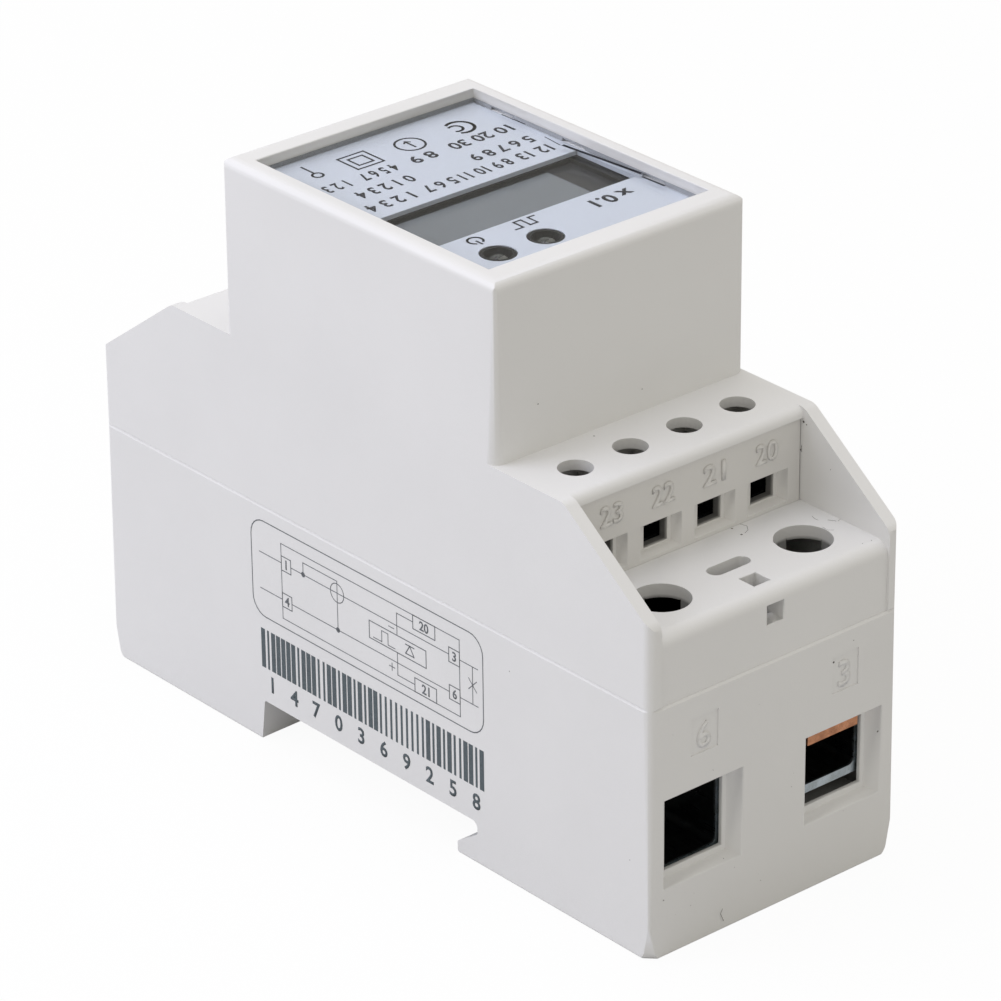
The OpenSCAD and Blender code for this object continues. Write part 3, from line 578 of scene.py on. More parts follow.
@cache
def moulded_grain():
    """Satin mould grain, faint colour drift and sparse dark specks for the pale plastic."""
    g = Group("moulded grain", "ShaderNodeTree", Colour=WHITE, Specks=0.0, Drift=0.0)
    speck_radius, speck_colour = 0.045, (0.16, 0.14, 0.12, 1)
    fine = g.noise(5200.0, 3.0)
    distance, chance = g.cells(330.0)
    near = g.maths("LESS_THAN", distance, speck_radius)
    speck = g.maths("MULTIPLY", near, g.maths("LESS_THAN", chance, g.given("Specks")))
    drift = g.maths("MULTIPLY", g.ranged(g.noise(55.0), 0.35, 0.65, -1.0, 1.0), g.given("Drift"))
    toned = g.scaled(g.given("Colour"), g.maths("ADD", drift, 1.0))
    return g.finish(
        Colour=g.mixed(speck, toned, speck_colour),
        Roughness=g.ranged(fine, 0.3, 0.7, 0.40, 0.54),
        Height=fine,
    )


@cache
def depth_shade():
    """Painted shade: 1 on the outside and darker within a box round the middle, for what lies deep in an
    opening.
    """
    keys = ("Centre X", "Half X", "Half Y", "Low", "High", "Soft", "Dark")
    g = Group("depth shade", "ShaderNodeTree", **dict.fromkeys(keys, 0.0))
    parts = g.add("ShaderNodeSeparateXYZ", {0: g.place()})

    def within(value, limit, over=False):
        """Ramps from 0 at the limit to 1 further in."""
        room = g.maths("SUBTRACT", *((value, limit) if over else (limit, value)))
        return g.maths("DIVIDE", room, g.given("Soft"), use_clamp=True)

    beside = g.maths("SUBTRACT", g.maths("ABSOLUTE", parts.outputs["X"]), g.given("Centre X"))
    whole = within(g.maths("ABSOLUTE", beside), g.given("Half X"))
    for ramp in (
        within(g.maths("ABSOLUTE", parts.outputs["Y"]), g.given("Half Y")),
        within(parts.outputs["Z"], g.given("Low"), True),
        within(parts.outputs["Z"], g.given("High")),
    ):
        whole = g.maths("MULTIPLY", whole, ramp)
    return g.finish(Level=g.ranged(whole, 0.0, 1.0, 1.0, g.given("Dark")))


@cache
def worn_metal():
    """Drawn lines, patches of plating and a little tarnish for sheet metal and wire."""
    g = Group("worn metal", "ShaderNodeTree", Colour=WHITE, Tarnish=WHITE, Amount=0.0, Patch_Scale=0.0)
    drawn = g.add("ShaderNodeMapping", {"Vector": g.place(), "Scale": (9000.0, 350.0, 9000.0)})
    pattern = {"Vector": drawn.outputs[0], "Scale": 1.0, "Detail": 4.0}
    lines = g.add("ShaderNodeTexNoise", pattern).outputs[0]
    patch = g.cells(g.given("Patch Scale"))[1]
    stains = g.ranged(g.noise(900.0, 5.0), 0.42, 0.62, 0.0, 1.0)
    toned = g.scaled(g.given("Colour"), g.ranged(patch, 0.0, 1.0, 0.86, 1.08))
    return g.finish(
        Colour=g.mixed(g.maths("MULTIPLY", stains, g.given("Amount")), toned, g.given("Tarnish")),
        Roughness=g.ranged(lines, 0.3, 0.7, 0.24, 0.42),
        Height=lines,
    )


def deep(half_x, half_y, low, high, dark, centre_x=0.0):
    """The box inside which a material gets painted shade, on both sides of the middle."""
    box = {"Centre X": centre_x, "Half X": half_x, "Half Y": half_y, "Low": low, "High": high}
    return {**box, "Soft": 0.0004, "Dark": dark}


def moulding(name, colour, grain_depth, specks, drift=0.05, painted_shade_box=None, shine=0.5):
    f = Finish(name, colour, 0.46, Specular_IOR_Level=shine)
    feeds = {"Colour": (*colour, 1), "Specks": specks, "Drift": drift}
    return f.worn(moulded_grain(), feeds, grain_depth, painted_shade_box)


def pale_moulding(name, colour, painted_shade_box):
    m = bpy.context.scene.meter_mouldings
    return moulding(name, colour, m.grain_depth, m.specks, 0.012, painted_shade_box)


def metal(name, colour, tarnish, amount=0.3, painted_shade_box=None):
    feeds = {"Colour": (*colour, 1), "Tarnish": (*tarnish, 1), "Amount": amount, "Patch Scale": 700.0}
    return Finish(name, colour, 0.3, 1.0).worn(worn_metal(), feeds, 4e-6, painted_shade_box)


def hazy(name, colour, roughness, scale, detail, limits, **plain):
    """Clear plastic with patches of haze."""
    f = Finish(name, colour, roughness, **plain)
    f.to(f.ranged(f.noise(scale, detail), *limits), "Roughness")
    f.lamps_pass()
    return f.material


def ink(name, colour):
    f = Finish(name, colour, 0.5, Specular_IOR_Level=0.08)
    f.two_tone(f.noise(7000), [c * 0.9 for c in colour], [c * 1.25 + 0.004 for c in colour], 0.35, 0.75)
    return f.material


def potted(name, colour):
    """Dipped or sleeved component with a slightly uneven coat."""
    f = Finish(name, colour, 0.3, Coat_Weight=0.25)
    noise = f.noise(600)
    f.two_tone(noise, [c * 0.85 for c in colour], [min(1, c * 1.1) for c in colour])
    f.bump(noise, 2e-5)
    return f.material


@cache
def base_plastic():
    m = bpy.context.scene.meter_mouldings
    # Painted shade on the base's walls deep inside the terminal openings
    painted_shade_box = deep(0.0059, 0.0438, 0.0077, 0.031, m.inner_shade, centre_x=0.01005)
    return pale_moulding("pale base plastic", m.base_colour, painted_shade_box)


@cache
def cover_plastic():
    m = bpy.context.scene.meter_mouldings
    # Painted shade on the cover's walls deep inside the terminal holes
    painted_shade_box = deep(0.0055, 0.0441, 0.029, 0.0366, m.inner_shade * 2.0, centre_x=0.01005)
    return pale_moulding("pale cover plastic", m.cover_colour, painted_shade_box)


@cache
def block_plastic():
    m = bpy.context.scene.meter_mouldings
    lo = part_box("aux_terminal_block")[0]
    # Painted shade on the block's walls deep inside its screw holes
    painted_shade_box = deep(0.0158, -lo.y - 0.001, lo.z - 0.001, 0.0464, m.inner_shade * 1.3)
    return pale_moulding("terminal block plastic", m.block_colour, painted_shade_box)


@cache
def latch_plastic():
    m = bpy.context.scene.meter_mouldings
    return moulding("latch plastic", m.clip_colour, m.grain_depth, 0.0)


@cache
def black_plastic():
    return moulding("black moulding", (0.008, 0.008, 0.009), 6e-6, 0.0, shine=0.1)


@cache
def copper():
    # Painted shade: the strips darken behind the windows' front edge
    painted_shade_box = deep(0.02, 0.0435, 0.0, 0.05, 0.3)
    return metal("copper strip", bpy.context.scene.meter_metals.copper, (0.32, 0.14, 0.08), 0.45, painted_shade_box)


@cache
def zinc():
    # Painted shade: the cages darken behind the windows' front edge
    painted_shade_box = deep(0.02, 0.0434, 0.0, 0.05, 0.16)
    return metal("zinc plate", bpy.context.scene.meter_metals.zinc, (0.34, 0.38, 0.36), 0.4, painted_shade_box)


@cache
def steel():
    # Painted shade: the screws darken behind the windows' front edge
    painted_shade_box = deep(0.02, 0.044, 0.006, 0.05, 0.2)
    return metal("plated steel", bpy.context.scene.meter_metals.steel, (0.22, 0.2, 0.18), painted_shade_box=painted_shade_box)


@cache
def shunt_metal():
    return metal("shunt strip", (0.45, 0.38, 0.33), (0.2, 0.15, 0.12))


@cache
def tinned():
    return metal("tinned strip", (0.66, 0.63, 0.56), (0.34, 0.3, 0.24))


@cache
def crystal_can():
    return metal("crystal can", (0.7, 0.71, 0.73), (0.4, 0.4, 0.4), 0.2)


@cache
def clear_lens():
    haze = (0.55, 0.8, 0.01, 0.05)
    return hazy("clear lens", (0.985, 0.99, 0.99), 0.02, 420, 6, haze, IOR=1.12, Transmission_Weight=1.0)


@cache
def resin():
    haze = (0.3, 0.7, 0.03, 0.14)
    return hazy("indicator resin", (0.30, 0.32, 0.31), 0.06, 1400, 2, haze, IOR=1.35, Transmission_Weight=0.9)


@cache
def film():
    c = bpy.context.scene.meter_face.plate_colour
    f = Finish("silver film", c, 0.4, Specular_IOR_Level=0.25)
    flake = f.noise(9000)
    dull = (c[0] * 0.93, c[1] * 0.93, c[2] * 0.94)
    bright = (c[0] * 1.06, c[1] * 1.06, c[2] * 1.05)
    f.two_tone(flake, dull, bright, 0.3, 0.7)
    f.bump(flake, 3e-6)
    return f.material


@cache
def display_glass():
    """Grey viewing area with a dark surround."""
    face = bpy.context.scene.meter_face
    f = Finish("display glass", face.display_colour, 0.2, Specular_IOR_Level=0.15)
    lo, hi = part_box("lcd_display")
    mask = f.inside((lo.x + 0.0022, lo.y + 0.0014), (hi.x - 0.0042, hi.y - 0.0012))
    f.to(f.mixed(mask, (*face.surround_colour, 1), (*face.display_colour, 1)), "Base Color")
    f.bump(f.add("ShaderNodeTexNoise", {"Scale": 2500}).outputs[0], 1e-6)
    return f.material


@cache
def circuit_board():
    f = Finish("circuit board", (0.02, 0.13, 0.06), 0.35, Coat_Weight=0.3)
    pattern = {
        "Vector": f.place(),
        "Scale": 160,
        "Color1": (0.02, 0.12, 0.055, 1),
        "Color2": (0.025, 0.16, 0.07, 1),
        "Mortar": (0.03, 0.22, 0.1, 1),
        "Mortar Size": 0.03,
    }
    bricks = f.add("ShaderNodeTexBrick", pattern)
    f.to(bricks.outputs["Color"], "Base Color")
    f.bump(bricks.outputs["Fac"], 2e-5)
    return f.material


@cache
def black_ink():
    return ink("black ink", bpy.context.scene.meter_face.ink_colour)


@cache
def line_ink():
    return ink("grey line ink", bpy.context.scene.meter_side_print.line_colour)


@cache
def bar_ink():
    return ink("bar ink", bpy.context.scene.meter_side_print.bar_colour)


@cache
def lens_edge():
    return ink("lens edge", (0.33, 0.34, 0.35))


@cache
def dark_speck():
    return ink("dark speck", (0.09, 0.08, 0.075))


@cache
def yellow_coat():
    return potted("yellow box coat", (0.7, 0.5, 0.04))


@cache
def dark_sleeve():
    return potted("dark sleeve", (0.02, 0.025, 0.06))


@cache
def blue_dip():
    return potted("blue dip", (0.03, 0.1, 0.4))


# Pieces


def paint(node, material):
    """Gives a CAD node its finish, without touching its mesh."""
    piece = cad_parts[node]
    if not piece.material_slots:
        piece.data.materials.append(material)
    for s in piece.material_slots:
        s.link = "OBJECT"
        s.material = material


def rounded(bm, radius):
    """Rounds the convex edges that have room for it, and marks every other corner sharp."""
    limit = math.radians(SHARP_ANGLE)

    def room(face, edge):
        """The least width that the face has across from either end of the edge."""
        start = edge.verts[0].co
        along = (edge.verts[1].co - start).normalized()
        widths = []
        for other in face.edges:
            if other is not edge and (set(other.verts) & set(edge.verts)):
                away = [v.co - start for v in other.verts if v not in edge.verts]
                widths += [(a - a.dot(along) * along).length for a in away]
        return min(widths, default=0)

    def fits(edge):
        return (
            len(edge.link_faces) == 2
            and edge.is_convex
            and edge.calc_face_angle(0) > limit
            and all(room(f, edge) > radius * 1.6 for f in edge.link_faces)
        )

    fresh = set()
    if radius:
        made = bmesh.ops.bevel(
            bm,
            geom=[e for e in bm.edges if fits(e)],
            offset=radius,
            offset_type="OFFSET",
            segments=2,
            profile=0.5,
            affect="EDGES",
            clamp_overlap=False,
        )
        fresh = set(made["faces"])
    for f in bm.faces:
        f.smooth = True
    for e in bm.edges:
        e.smooth = len(e.link_faces) == 2 and (
            e.calc_face_angle(0) < limit or all(f in fresh for f in e.link_faces)
        )
    return bm


def crisp_feet(bm):
    """Tightens the rounding under the base and rounds the foot of each upright corner instead."""
    side_r, end_r, share, past = 0.0013, 0.0009, 0.3, 1.02
    for v in bm.verts:
        in_x, in_y = SIDE_FACE - abs(v.co.x), FOOT_HALF_Y - abs(v.co.y)
        if v.co.z > side_r * past or min(in_x / side_r, in_y / end_r) > past:
            continue
        if in_x < side_r * past:
            v.co.x = math.copysign(SIDE_FACE - in_x * share, v.co.x)
        if in_y < end_r * past:
            v.co.y = math.copysign(FOOT_HALF_Y - in_y * share, v.co.y)
        v.co.z *= share
    tall, cut, corner_in, cuts = 0.0014, 0.0006, 0.0005, 6
    bend = (tall * tall + cut * cut) / (2 * cut)
    reach = (SIDE_FACE + FOOT_HALF_Y) / math.sqrt(2) - corner_in
    sweep = math.asin(tall / bend)
    for side in ((-1, -1, 0), (-1, 1, 0), (1, -1, 0), (1, 1, 0)):
        flat = Vector(side) / math.sqrt(2)
        for i in range(1, cuts + 1):
            t = sweep * i / cuts
            out = flat * math.cos(t) + Vector((0, 0, -math.sin(t)))
            height = Vector((0, 0, tall - bend * math.sin(t)))
            point = flat * (reach - bend + bend * math.cos(t)) + height
            whole = bm.verts[:] + bm.edges[:] + bm.faces[:]
            sliced = bmesh.ops.bisect_plane(
                bm, geom=whole, dist=1e-7, plane_co=point, plane_no=out, clear_outer=True
            )
            rim = [e for e in sliced["geom_cut"] if isinstance(e, bmesh.types.BMEdge) and e.is_boundary]
            if rim:
                bmesh.ops.holes_fill(bm, edges=rim, sides=0)
    return bm


def settle(piece):
    """Keeps large flat faces flat beside their rounded edges."""
    step = piece.modifiers.new("face normals", "WEIGHTED_NORMAL")
    step.keep_sharp = True
    mesh = plain_mesh(piece)
    piece.modifiers.clear()
    piece.data = mesh


def shell(node, name, material, radius, body=ROOT, shape=None):
    """A CAD node's copy with rounded edges and its finish."""
    bm = rounded(shape(merged(node)) if shape else merged(node), radius)
    settle(put(name, mesh_of(bm, name, [material]), body=body, instead=[node]))


def threaded_screw(node, body, radius, pitch):
    """The CAD screw with a slimmer core and a wound ridge for its thread."""
    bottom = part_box(node)[0].z
    x, y = middle_of(node)
    ridge = bpy.context.scene.meter_metals.ridge
    if radius < MAIN_TERMINAL[0]:
        ridge *= 0.6
    bm = merged(node)
    wide = radius * 1.1
    head = min(v.co.z for v in bm.verts if (v.co.x - x) ** 2 + (v.co.y - y) ** 2 > wide**2)
    share = (radius - ridge) / radius
    for v in bm.verts:
        if v.co.z < head - 1e-6:
            v.co.x, v.co.y = x + (v.co.x - x) * share, y + (v.co.y - y) * share
    ring = coil().grow(
        Matrix.Translation((x, y, bottom + pitch * 0.3)),
        Radius=radius - ridge * 0.98,
        Pitch=pitch,
        Turns=(head - bottom) / pitch - 0.6,
        Thickness=ridge * 0.95,
        Sides=4,
        Steps=28,
        Material=steel(),
    )
    bm.from_mesh(ring)
    put(node + "_threaded", mesh_of(bm, node, [steel()], 35), body=body, instead=[node])


def film_plane():
    """The film, with the print's x and y turned to be read from the far end."""
    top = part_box("face_plate")[1].z
    return face_on((0, 0, top + 1.5 * LIFT), LEFT, NEAR)


def on_film(x, y):
    """A point of the film, in mm from its middle."""
    return (-x * MM, -y * MM)


def side_plane():
    """The tapered side face, with the print running from the far end to the near end."""
    return face_on((-SIDE_FACE - 2.5 * LIFT, 0, 0), NEAR, (-SIDE_TAPER, 0, 1))


def on_side(y, z):
    """A point of the side face, in mm from the middle and from the floor."""
    return (-y * MM, z * MM)


class METER_OT_mouldings(bpy.types.Operator):
    """Rounds and finishes the two housing halves and the auxiliary terminal block."""

    bl_idname = "meter.mouldings"
    bl_label = "Housing mouldings"

    def execute(self, context):
        edge = context.scene.meter_mouldings.edge_radius
        shell("lower_housing", "lower_moulding", base_plastic(), edge, shape=crisp_feet)
        shell("upper_housing", "upper_moulding", cover_plastic(), edge)
        shell("aux_terminal_block", "aux_block_moulding", block_plastic(), edge * 0.5)
        return {"FINISHED"}


class METER_OT_window(bpy.types.Operator):
    """Makes the clear lens, the film, the display and its frame."""

    bl_idname = "meter.window"
    bl_label = "Window and display"

    def execute(self, context):
        bm = merged("display_lens")
        floor = min(v.co.z for v in bm.verts)
        for v in bm.verts:
            if v.co.z < floor + 1e-6:
                v.co.z = floor + context.scene.meter_face.lens_gap
        rounded(bm, 0)
        for f in bm.faces:
            f.material_index = int(abs(f.normal.z) < 0.5)
        mesh = mesh_of(bm, "clear_window", [clear_lens(), lens_edge()])
        settle(put("clear_window", mesh, instead=["display_lens"]))
        bm = bmesh.new()
        top = face_on((0, 0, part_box("display_lens")[1].z + LIFT), RIGHT, FAR)
        for start, end, wide in NOTCHES:
            line_into(bm, top, [(x * MM, y * MM) for x, y in (start, end)], wide * MM, LIFT)
        put("lens_edge_marks", mesh_of(bm, "lens_edge_marks", [black_ink()]))
        paint("face_plate", film())
        paint("lcd_frame", black_plastic())
        paint("lcd_display", display_glass())
        return {"FINISHED"}


class METER_OT_indicators(bpy.types.Operator):
    """Makes the two clear indicators, with the small lead frame inside each, in their black holder."""

    bl_idname = "meter.indicators"
    bl_label = "Indicators"

    def execute(self, context):
        paint("led_holder", black_plastic())
        for node in ("led_power", "led_pulse"):
            lo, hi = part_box(node)
            x, y = middle_of(node)
            lens = mesh_of(merged(node), node, [resin()], 40)
            put(node + "_lens", lens, instead=[node])
            bm = bmesh.new()
            deep_half, foot, tip = 0.00035, lo.z + 0.0004, hi.z - 0.0009
            for post, wide in ((x - 0.00062, 0.00045), (x + 0.00062, 0.0007)):
                near_left = (post - wide / 2, y - deep_half, foot)
                box_into(bm, near_left, (post + wide / 2, y + deep_half, tip))
            put(node + "_leads", mesh_of(bm, node + "_leads", [tinned()]))
        return {"FINISHED"}


class METER_OT_terminals(bpy.types.Operator):
    """Finishes the rising cages, cuts threads on the screws and colours the copper strips."""

    bl_idname = "meter.terminals"
    bl_label = "Terminals"

    def execute(self, context):
        radius, pitch, edge = MAIN_TERMINAL
        for i in MAIN:
            shell(f"main_cage_{i}", f"main_cage_{i}_bent", zinc(), edge, f"cage_{i}")
            threaded_screw(f"main_screw_{i}", f"screw_{i}", radius, pitch)
        radius, pitch, edge = AUX_TERMINAL
        for i in AUX:
            shell(f"aux_cage_{i}", f"aux_cage_{i}_bent", zinc(), edge, f"aux_cage_body_{i}")
            threaded_screw(f"aux_screw_{i}", f"aux_screw_body_{i}", radius, pitch)
            paint(f"aux_contact_{i}", tinned())
        for node in ("live_in_busbar", "live_out_busbar", "neutral_busbar"):
            bm = rounded(merged(node), STRIP_EDGE)
            if node == "live_out_busbar":
                self.turn_down(bm, *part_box(node))
            mesh = mesh_of(bm, node, [copper()])
            settle(put(node + "_strip", mesh, instead=[node]))
        paint("shunt", shunt_metal())
        return {"FINISHED"}

    def turn_down(self, bm, lo, hi):
        """Bends the strip's near end down in front of its cage."""
        left, right = lo.x + 5e-5, hi.x - 5e-5
        box_into(bm, (left, lo.y - 0.0008, hi.z - 0.0016), (right, lo.y - 0.0002, hi.z))
        box_into(bm, (left, lo.y - 0.0003, lo.z), (right, lo.y + 0.0001, hi.z))


class METER_OT_rail_latch(bpy.types.Operator):
    """Finishes the sliding latch and winds its spring."""

    bl_idname = "meter.rail_latch"
    bl_label = "Rail latch"

    def execute(self, context):
        shell("din_clip", "latch_moulding", latch_plastic(), LATCH_EDGE, "rail_latch")
        lo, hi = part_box("clip_spring")
        wire, turns = 0.0002, 7.0
        along_y = Matrix.Rotation(math.radians(-90), 4, "X")
        start = ((lo.x + hi.x) / 2, lo.y + wire, (lo.z + hi.z) / 2)
        mesh = coil().grow(
            Matrix.Translation(start) @ along_y,
            Radius=(hi.x - lo.x) / 2 - wire,
            Pitch=(hi.y - lo.y - 2 * wire) / turns,
            Turns=turns,
            Thickness=wire * 0.98,
            Sides=8,
            Steps=28,
            Material=steel(),
        )
        mesh.shade_smooth()
        spring = put("latch_spring_wire", mesh, instead=["clip_spring"])
        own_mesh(spring)
        return {"FINISHED"}


class METER_OT_electronics(bpy.types.Operator):
    """Finishes the boards and the components on them."""

    bl_idname = "meter.electronics"
    bl_label = "Electronics"

    def execute(self, context):
        finishes = {
            "main_board": circuit_board,
            "display_board": circuit_board,
            "board_header": black_plastic,
            "sense_pins": tinned,
            "film_capacitor": yellow_coat,
            "electrolytic_capacitor": dark_sleeve,
            "varistor": blue_dip,
            "optocoupler_a": black_plastic,
            "optocoupler_b": black_plastic,
            "metering_chip": black_plastic,
            "crystal": crystal_can,
            "microcontroller": black_plastic,
        }
        for node, finish in finishes.items():
            paint(node, finish())
        return {"FINISHED"}


class METER_OT_face_print(bpy.types.Operator):
    """Prints plain numerals and common symbols on the film."""

    bl_idname = "meter.face_print"
    bl_label = "Face print"

    def execute(self, context):
        height = context.scene.meter_face.numeral_height * 0.86
        place = film_plane()
        bm = bmesh.new()
        rows = (
            # numerals, middle and width in mm
            ("1 2 3 4", (-9.3, 4.45), 6.2),
            ("5 6 7", (-2.4, 4.45), 4.4),
            ("8 9 10 11", (4.0, 4.45), 7.0),
            ("12 13", (10.9, 4.45), 4.6),
            ("0 1 2 3 4", (-7.1, 7.95), 7.6),
            ("5 6 7 8 9", (9.0, 7.6), 8.6),
            ("1 2 3", (-11.0, 11.4), 3.2),
            ("4 5 6 7", (-5.1, 11.4), 5.0),
            ("8 9", (1.1, 11.4), 3.4),
            ("10 20 30", (9.3, 11.5), 8.6),
        )
        for words, at, width in rows:
            words_into(bm, words, place, on_film(*at), height, width * MM, bold=0.022)

        def stroke(at, points, share=1.0, closed=False):
            """A line through points in mm from a mark's middle."""
            spots = [(at[0] + x * MM, at[1] + y * MM) for x, y in points]
            line_into(bm, place, spots, 0.00026 * share, closed=closed)

        def bow(at, radius, start=0, end=360, steps=16, share=1.0):
            stroke(at, arc((0, 0), radius, start, end, steps), share)

        power = on_film(-9.2, -9.2)
        bow(power, 0.85, 125, 415)
        stroke(power, [(0, 0.2), (0, 1.1)])
        pulse = [(-1.9, -0.8), (-1.1, -0.8), (-1.1, 0.8), (-0.1, 0.8), (-0.1, -0.8), (0.9, -0.8), (0.9, 0.8)]
        stroke(on_film(-2.3, -9.1), [*pulse, (1.9, 0.8)])
        words_into(bm, "x 0.1", place, on_film(9.0, -10.3), 0.0021, 0.0056, bold=0.03)
        key = on_film(-10.5, 15.15)
        bow(key, 0.6)
        stroke(key, [(0, -0.6), (0, -2.8)])
        for half in (1.8, 1.0):
            square = [(-half, -half), (half, -half), (half, half), (-half, half)]
            stroke(on_film(-4.5, 15.25), square, closed=True)
        clock = on_film(2.3, 15.1)
        bow(clock, 1.7, steps=28)
        stroke(clock, [(0, -0.9), (0, 0.9)])
        stroke(clock, [(-0.4, -0.5), (0, -0.9), (0.4, -0.5)], 0.8)
        crescent = on_film(9.4, 15.1)
        bow(crescent, 1.6, 60, 300, 18, 1.5)
        bow((crescent[0] + 0.6 * MM, crescent[1]), 0.8, 60, 300, 12, 1.2)
        put("face_print", mesh_of(bm, "face_print", [black_ink()]))
        return {"FINISHED"}


class METER_OT_side_print(bpy.types.Operator):
    """Prints a plain wiring diagram, a row of bars and counting numerals on the side."""

    bl_idname = "meter.side_print"
    bl_label = "Side print"

    def execute(self, context):
        p = context.scene.meter_side_print
        self.place = side_plane()
        self.width = p.line_width
        self.diagram()
        row = bars().grow(
            self.place @ Matrix.Translation((0.65 * MM, 11.95 * MM, 1.5 * LIFT)),
            Length=37.2 * MM,
            Height=4.9 * MM,
            Narrow=0.33 * MM,
            Wide=0.70 * MM,
            Bars=p.bars,
            Seed=p.seed,
            Material=bar_ink(),
        )
        put("printed_bars", row)
        bm = bmesh.new()
        first, gap, line = 16.55, 3.87, 7.72
        for i in range(10):
            at = on_side(first - i * gap, line)
            words_into(bm, str((i * 3 + 1) % 10), self.place, at, 0.0020, bold=0.02)
        put("counting_numerals", mesh_of(bm, "counting_numerals", [bar_ink()]))
        return {"FINISHED"}

    def stroke(self, bm, points, share=1.0, closed=False):
        line_into(bm, self.place, [on_side(*q) for q in points], self.width * share, closed=closed)

    def diagram(self):
        """The round-cornered frame with its wires, boxes, dots and marks, all in mm."""
        bm = bmesh.new()
        corner = 2.2
        far, near, low, top = 19.5 - corner, -19.65 + corner, 16.0 + corner, 27.95 - corner
        outline = []
        for y, z, turn in ((far, top, 90), (far, low, 180), (near, low, 270), (near, top, 0)):
            turns = [math.radians(t) for t in range(turn, turn + 91, 15)]
            outline += [(y - corner * math.cos(t), z + corner * math.sin(t)) for t in turns]
        self.stroke(bm, outline, 1.25, closed=True)
        wires = (
            [(14.25, 26.35), (-15.85, 26.35), (-15.85, 17.1), (14.25, 17.1), (14.25, 26.35)],
            [(18.1, 23.97), (14.25, 23.97)],
            [(18.1, 19.45), (14.25, 19.45)],
            [(12.6, 23.97), (-14.1, 23.97)],
            [(12.6, 19.45), (-14.1, 19.45)],
            [(10.45, 23.97), (10.45, 25.43), (4.6, 25.43), (4.6, 19.45)],
            [(-8.2, 25.5), (-5.5, 25.5), (-5.5, 22.8)],
            [(-5.5, 20.7), (-5.5, 17.95), (-8.35, 17.95)],
            [(-15.85, 23.97), (-18.8, 23.97)],
            [(-15.85, 19.45), (-18.8, 19.45)],
            [(-17.95, 23.97), (-17.95, 19.45)],
            [(-17.3, 22.4), (-18.6, 21.1)],
            [(-17.3, 21.1), (-18.6, 22.4)],
            [(-1.5, 21.0), (-2.9, 21.0), (-2.9, 22.35), (-3.95, 22.35), (-3.95, 21.0), (-5.1, 21.0)],
            [(-4.1, 23.4), (-5.0, 23.4)],
            [(-4.1, 18.6), (-5.0, 18.6)],
            [(-4.55, 19.05), (-4.55, 18.15)],
        )
        for wire in wires:
            self.stroke(bm, wire)
        self.stroke(bm, arc((4.6, 23.97), 1.15, 0, 340, 17), closed=True)
        boxes = (
            # far and near side, top and bottom, numeral
            (14.25, 12.6, 24.85, 23.1, "1"),
            (14.25, 12.6, 20.3, 18.6, "4"),
            (-14.1, -15.85, 24.85, 23.1, "3"),
            (-14.1, -15.85, 20.3, 18.6, "6"),
            (-8.2, -11.85, 26.35, 24.7, "20"),
            (-8.35, -11.95, 18.8, 17.1, "21"),
            (-0.8, -10.3, 22.8, 20.7, None),
        )
        for a, b, upper, lower, words in boxes:
            self.stroke(bm, [(a, lower), (b, lower), (b, upper), (a, upper)], 1.15, closed=True)
            if words:
                middle = on_side((a + b) / 2, (upper + lower) / 2)
                words_into(bm, words, self.place, middle, 0.00115, bold=0.02)
        for spot in ((10.45, 23.97), (4.6, 19.45)):
            disc_into(bm, self.place, on_side(*spot), 0.00032)
        self.stroke(bm, [(-6.9, 21.2), (-7.6, 22.3), (-8.3, 21.2)], 1.3, closed=True)
        self.stroke(bm, [(-6.9, 22.3), (-8.3, 22.3)], 1.3)
        put("wiring_diagram", mesh_of(bm, "wiring_diagram", [line_ink()]))


class METER_OT_numerals(bpy.types.Operator):
    """Raises the moulded terminal numerals at the ends and under the shoulder."""

    bl_idname = "meter.numerals"
    bl_label = "Moulded numerals"

    def execute(self, context):
        raised = 0.0002
        for name, end, along, left, right in (
            ("near_numerals", -NUMERAL_FACE, RIGHT, "6", "3"),
            ("far_numerals", NUMERAL_FACE, LEFT, "1", "4"),
        ):
            place = face_on((0, end, 0), along, UP)
            bm = bmesh.new()
            for words, x in ((left, -0.01010), (right, 0.0099)):
                words_into(bm, words, place, (x, 0.02460), 0.0031, depth=raised, bold=0.01)
            put(name, mesh_of(bm, name, [base_plastic()]))
        place = face_on((0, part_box("aux_terminal_block")[0].y, 0), RIGHT, UP)
        bm = bmesh.new()
        for i, x in zip(AUX, (11.1, 3.6, -3.6, -10.8)):
            words_into(bm, str(i), place, (x * MM, 0.04505), 0.0024, 0.0031, depth=raised, bold=0.015)
        put("aux_numerals", mesh_of(bm, "aux_numerals", [block_plastic()]))
        return {"FINISHED"}


class METER_OT_marks(bpy.types.Operator):
    """Lays the few specks and hairs that handling left on the plastic."""

    bl_idname = "meter.marks"
    bl_label = "Specks and hairs"

    def execute(self, context):
        rng = random.Random(7)
        bm = bmesh.new()
        planes = {
            "deck": face_on((0, 0, DECK_TOP + LIFT), RIGHT, FAR),
            "shoulder": face_on((0, 0, SHOULDER_TOP + LIFT), RIGHT, FAR),
            "near": face_on((0, -NEAR_FACE + 2 * LIFT, 0), RIGHT, UP),
            "side": side_plane(),
            "cheek": face_on((CHEEK_FACE - 2 * LIFT, 0, 0), NEAR, UP),
            "tower": face_on((0, -TOWER_FACE - 2 * LIFT, 0), RIGHT, UP),
        }

        def spot(plane, x, y):
            """A point in mm, where the cheek's own x runs the other way."""
            return (-x if plane == "cheek" else x) * MM, y * MM

        for plane, radius, at in SPECKS:
            disc_into(bm, planes[plane], spot(plane, *at), radius * MM, DIRT, 9)
        for plane, width, points in HAIRS:
            line_into(bm, planes[plane], [spot(plane, *at) for at in points], width * MM, DIRT)
        for _ in range(14):
            at = (rng.uniform(-16, 16) * MM, rng.uniform(3, 30) * MM)
            disc_into(bm, planes["near"], at, rng.uniform(0.02, 0.04) * MM, DIRT, 8)
        put("specks_and_hairs", mesh_of(bm, "specks", [dark_speck()]))
        return {"FINISHED"}


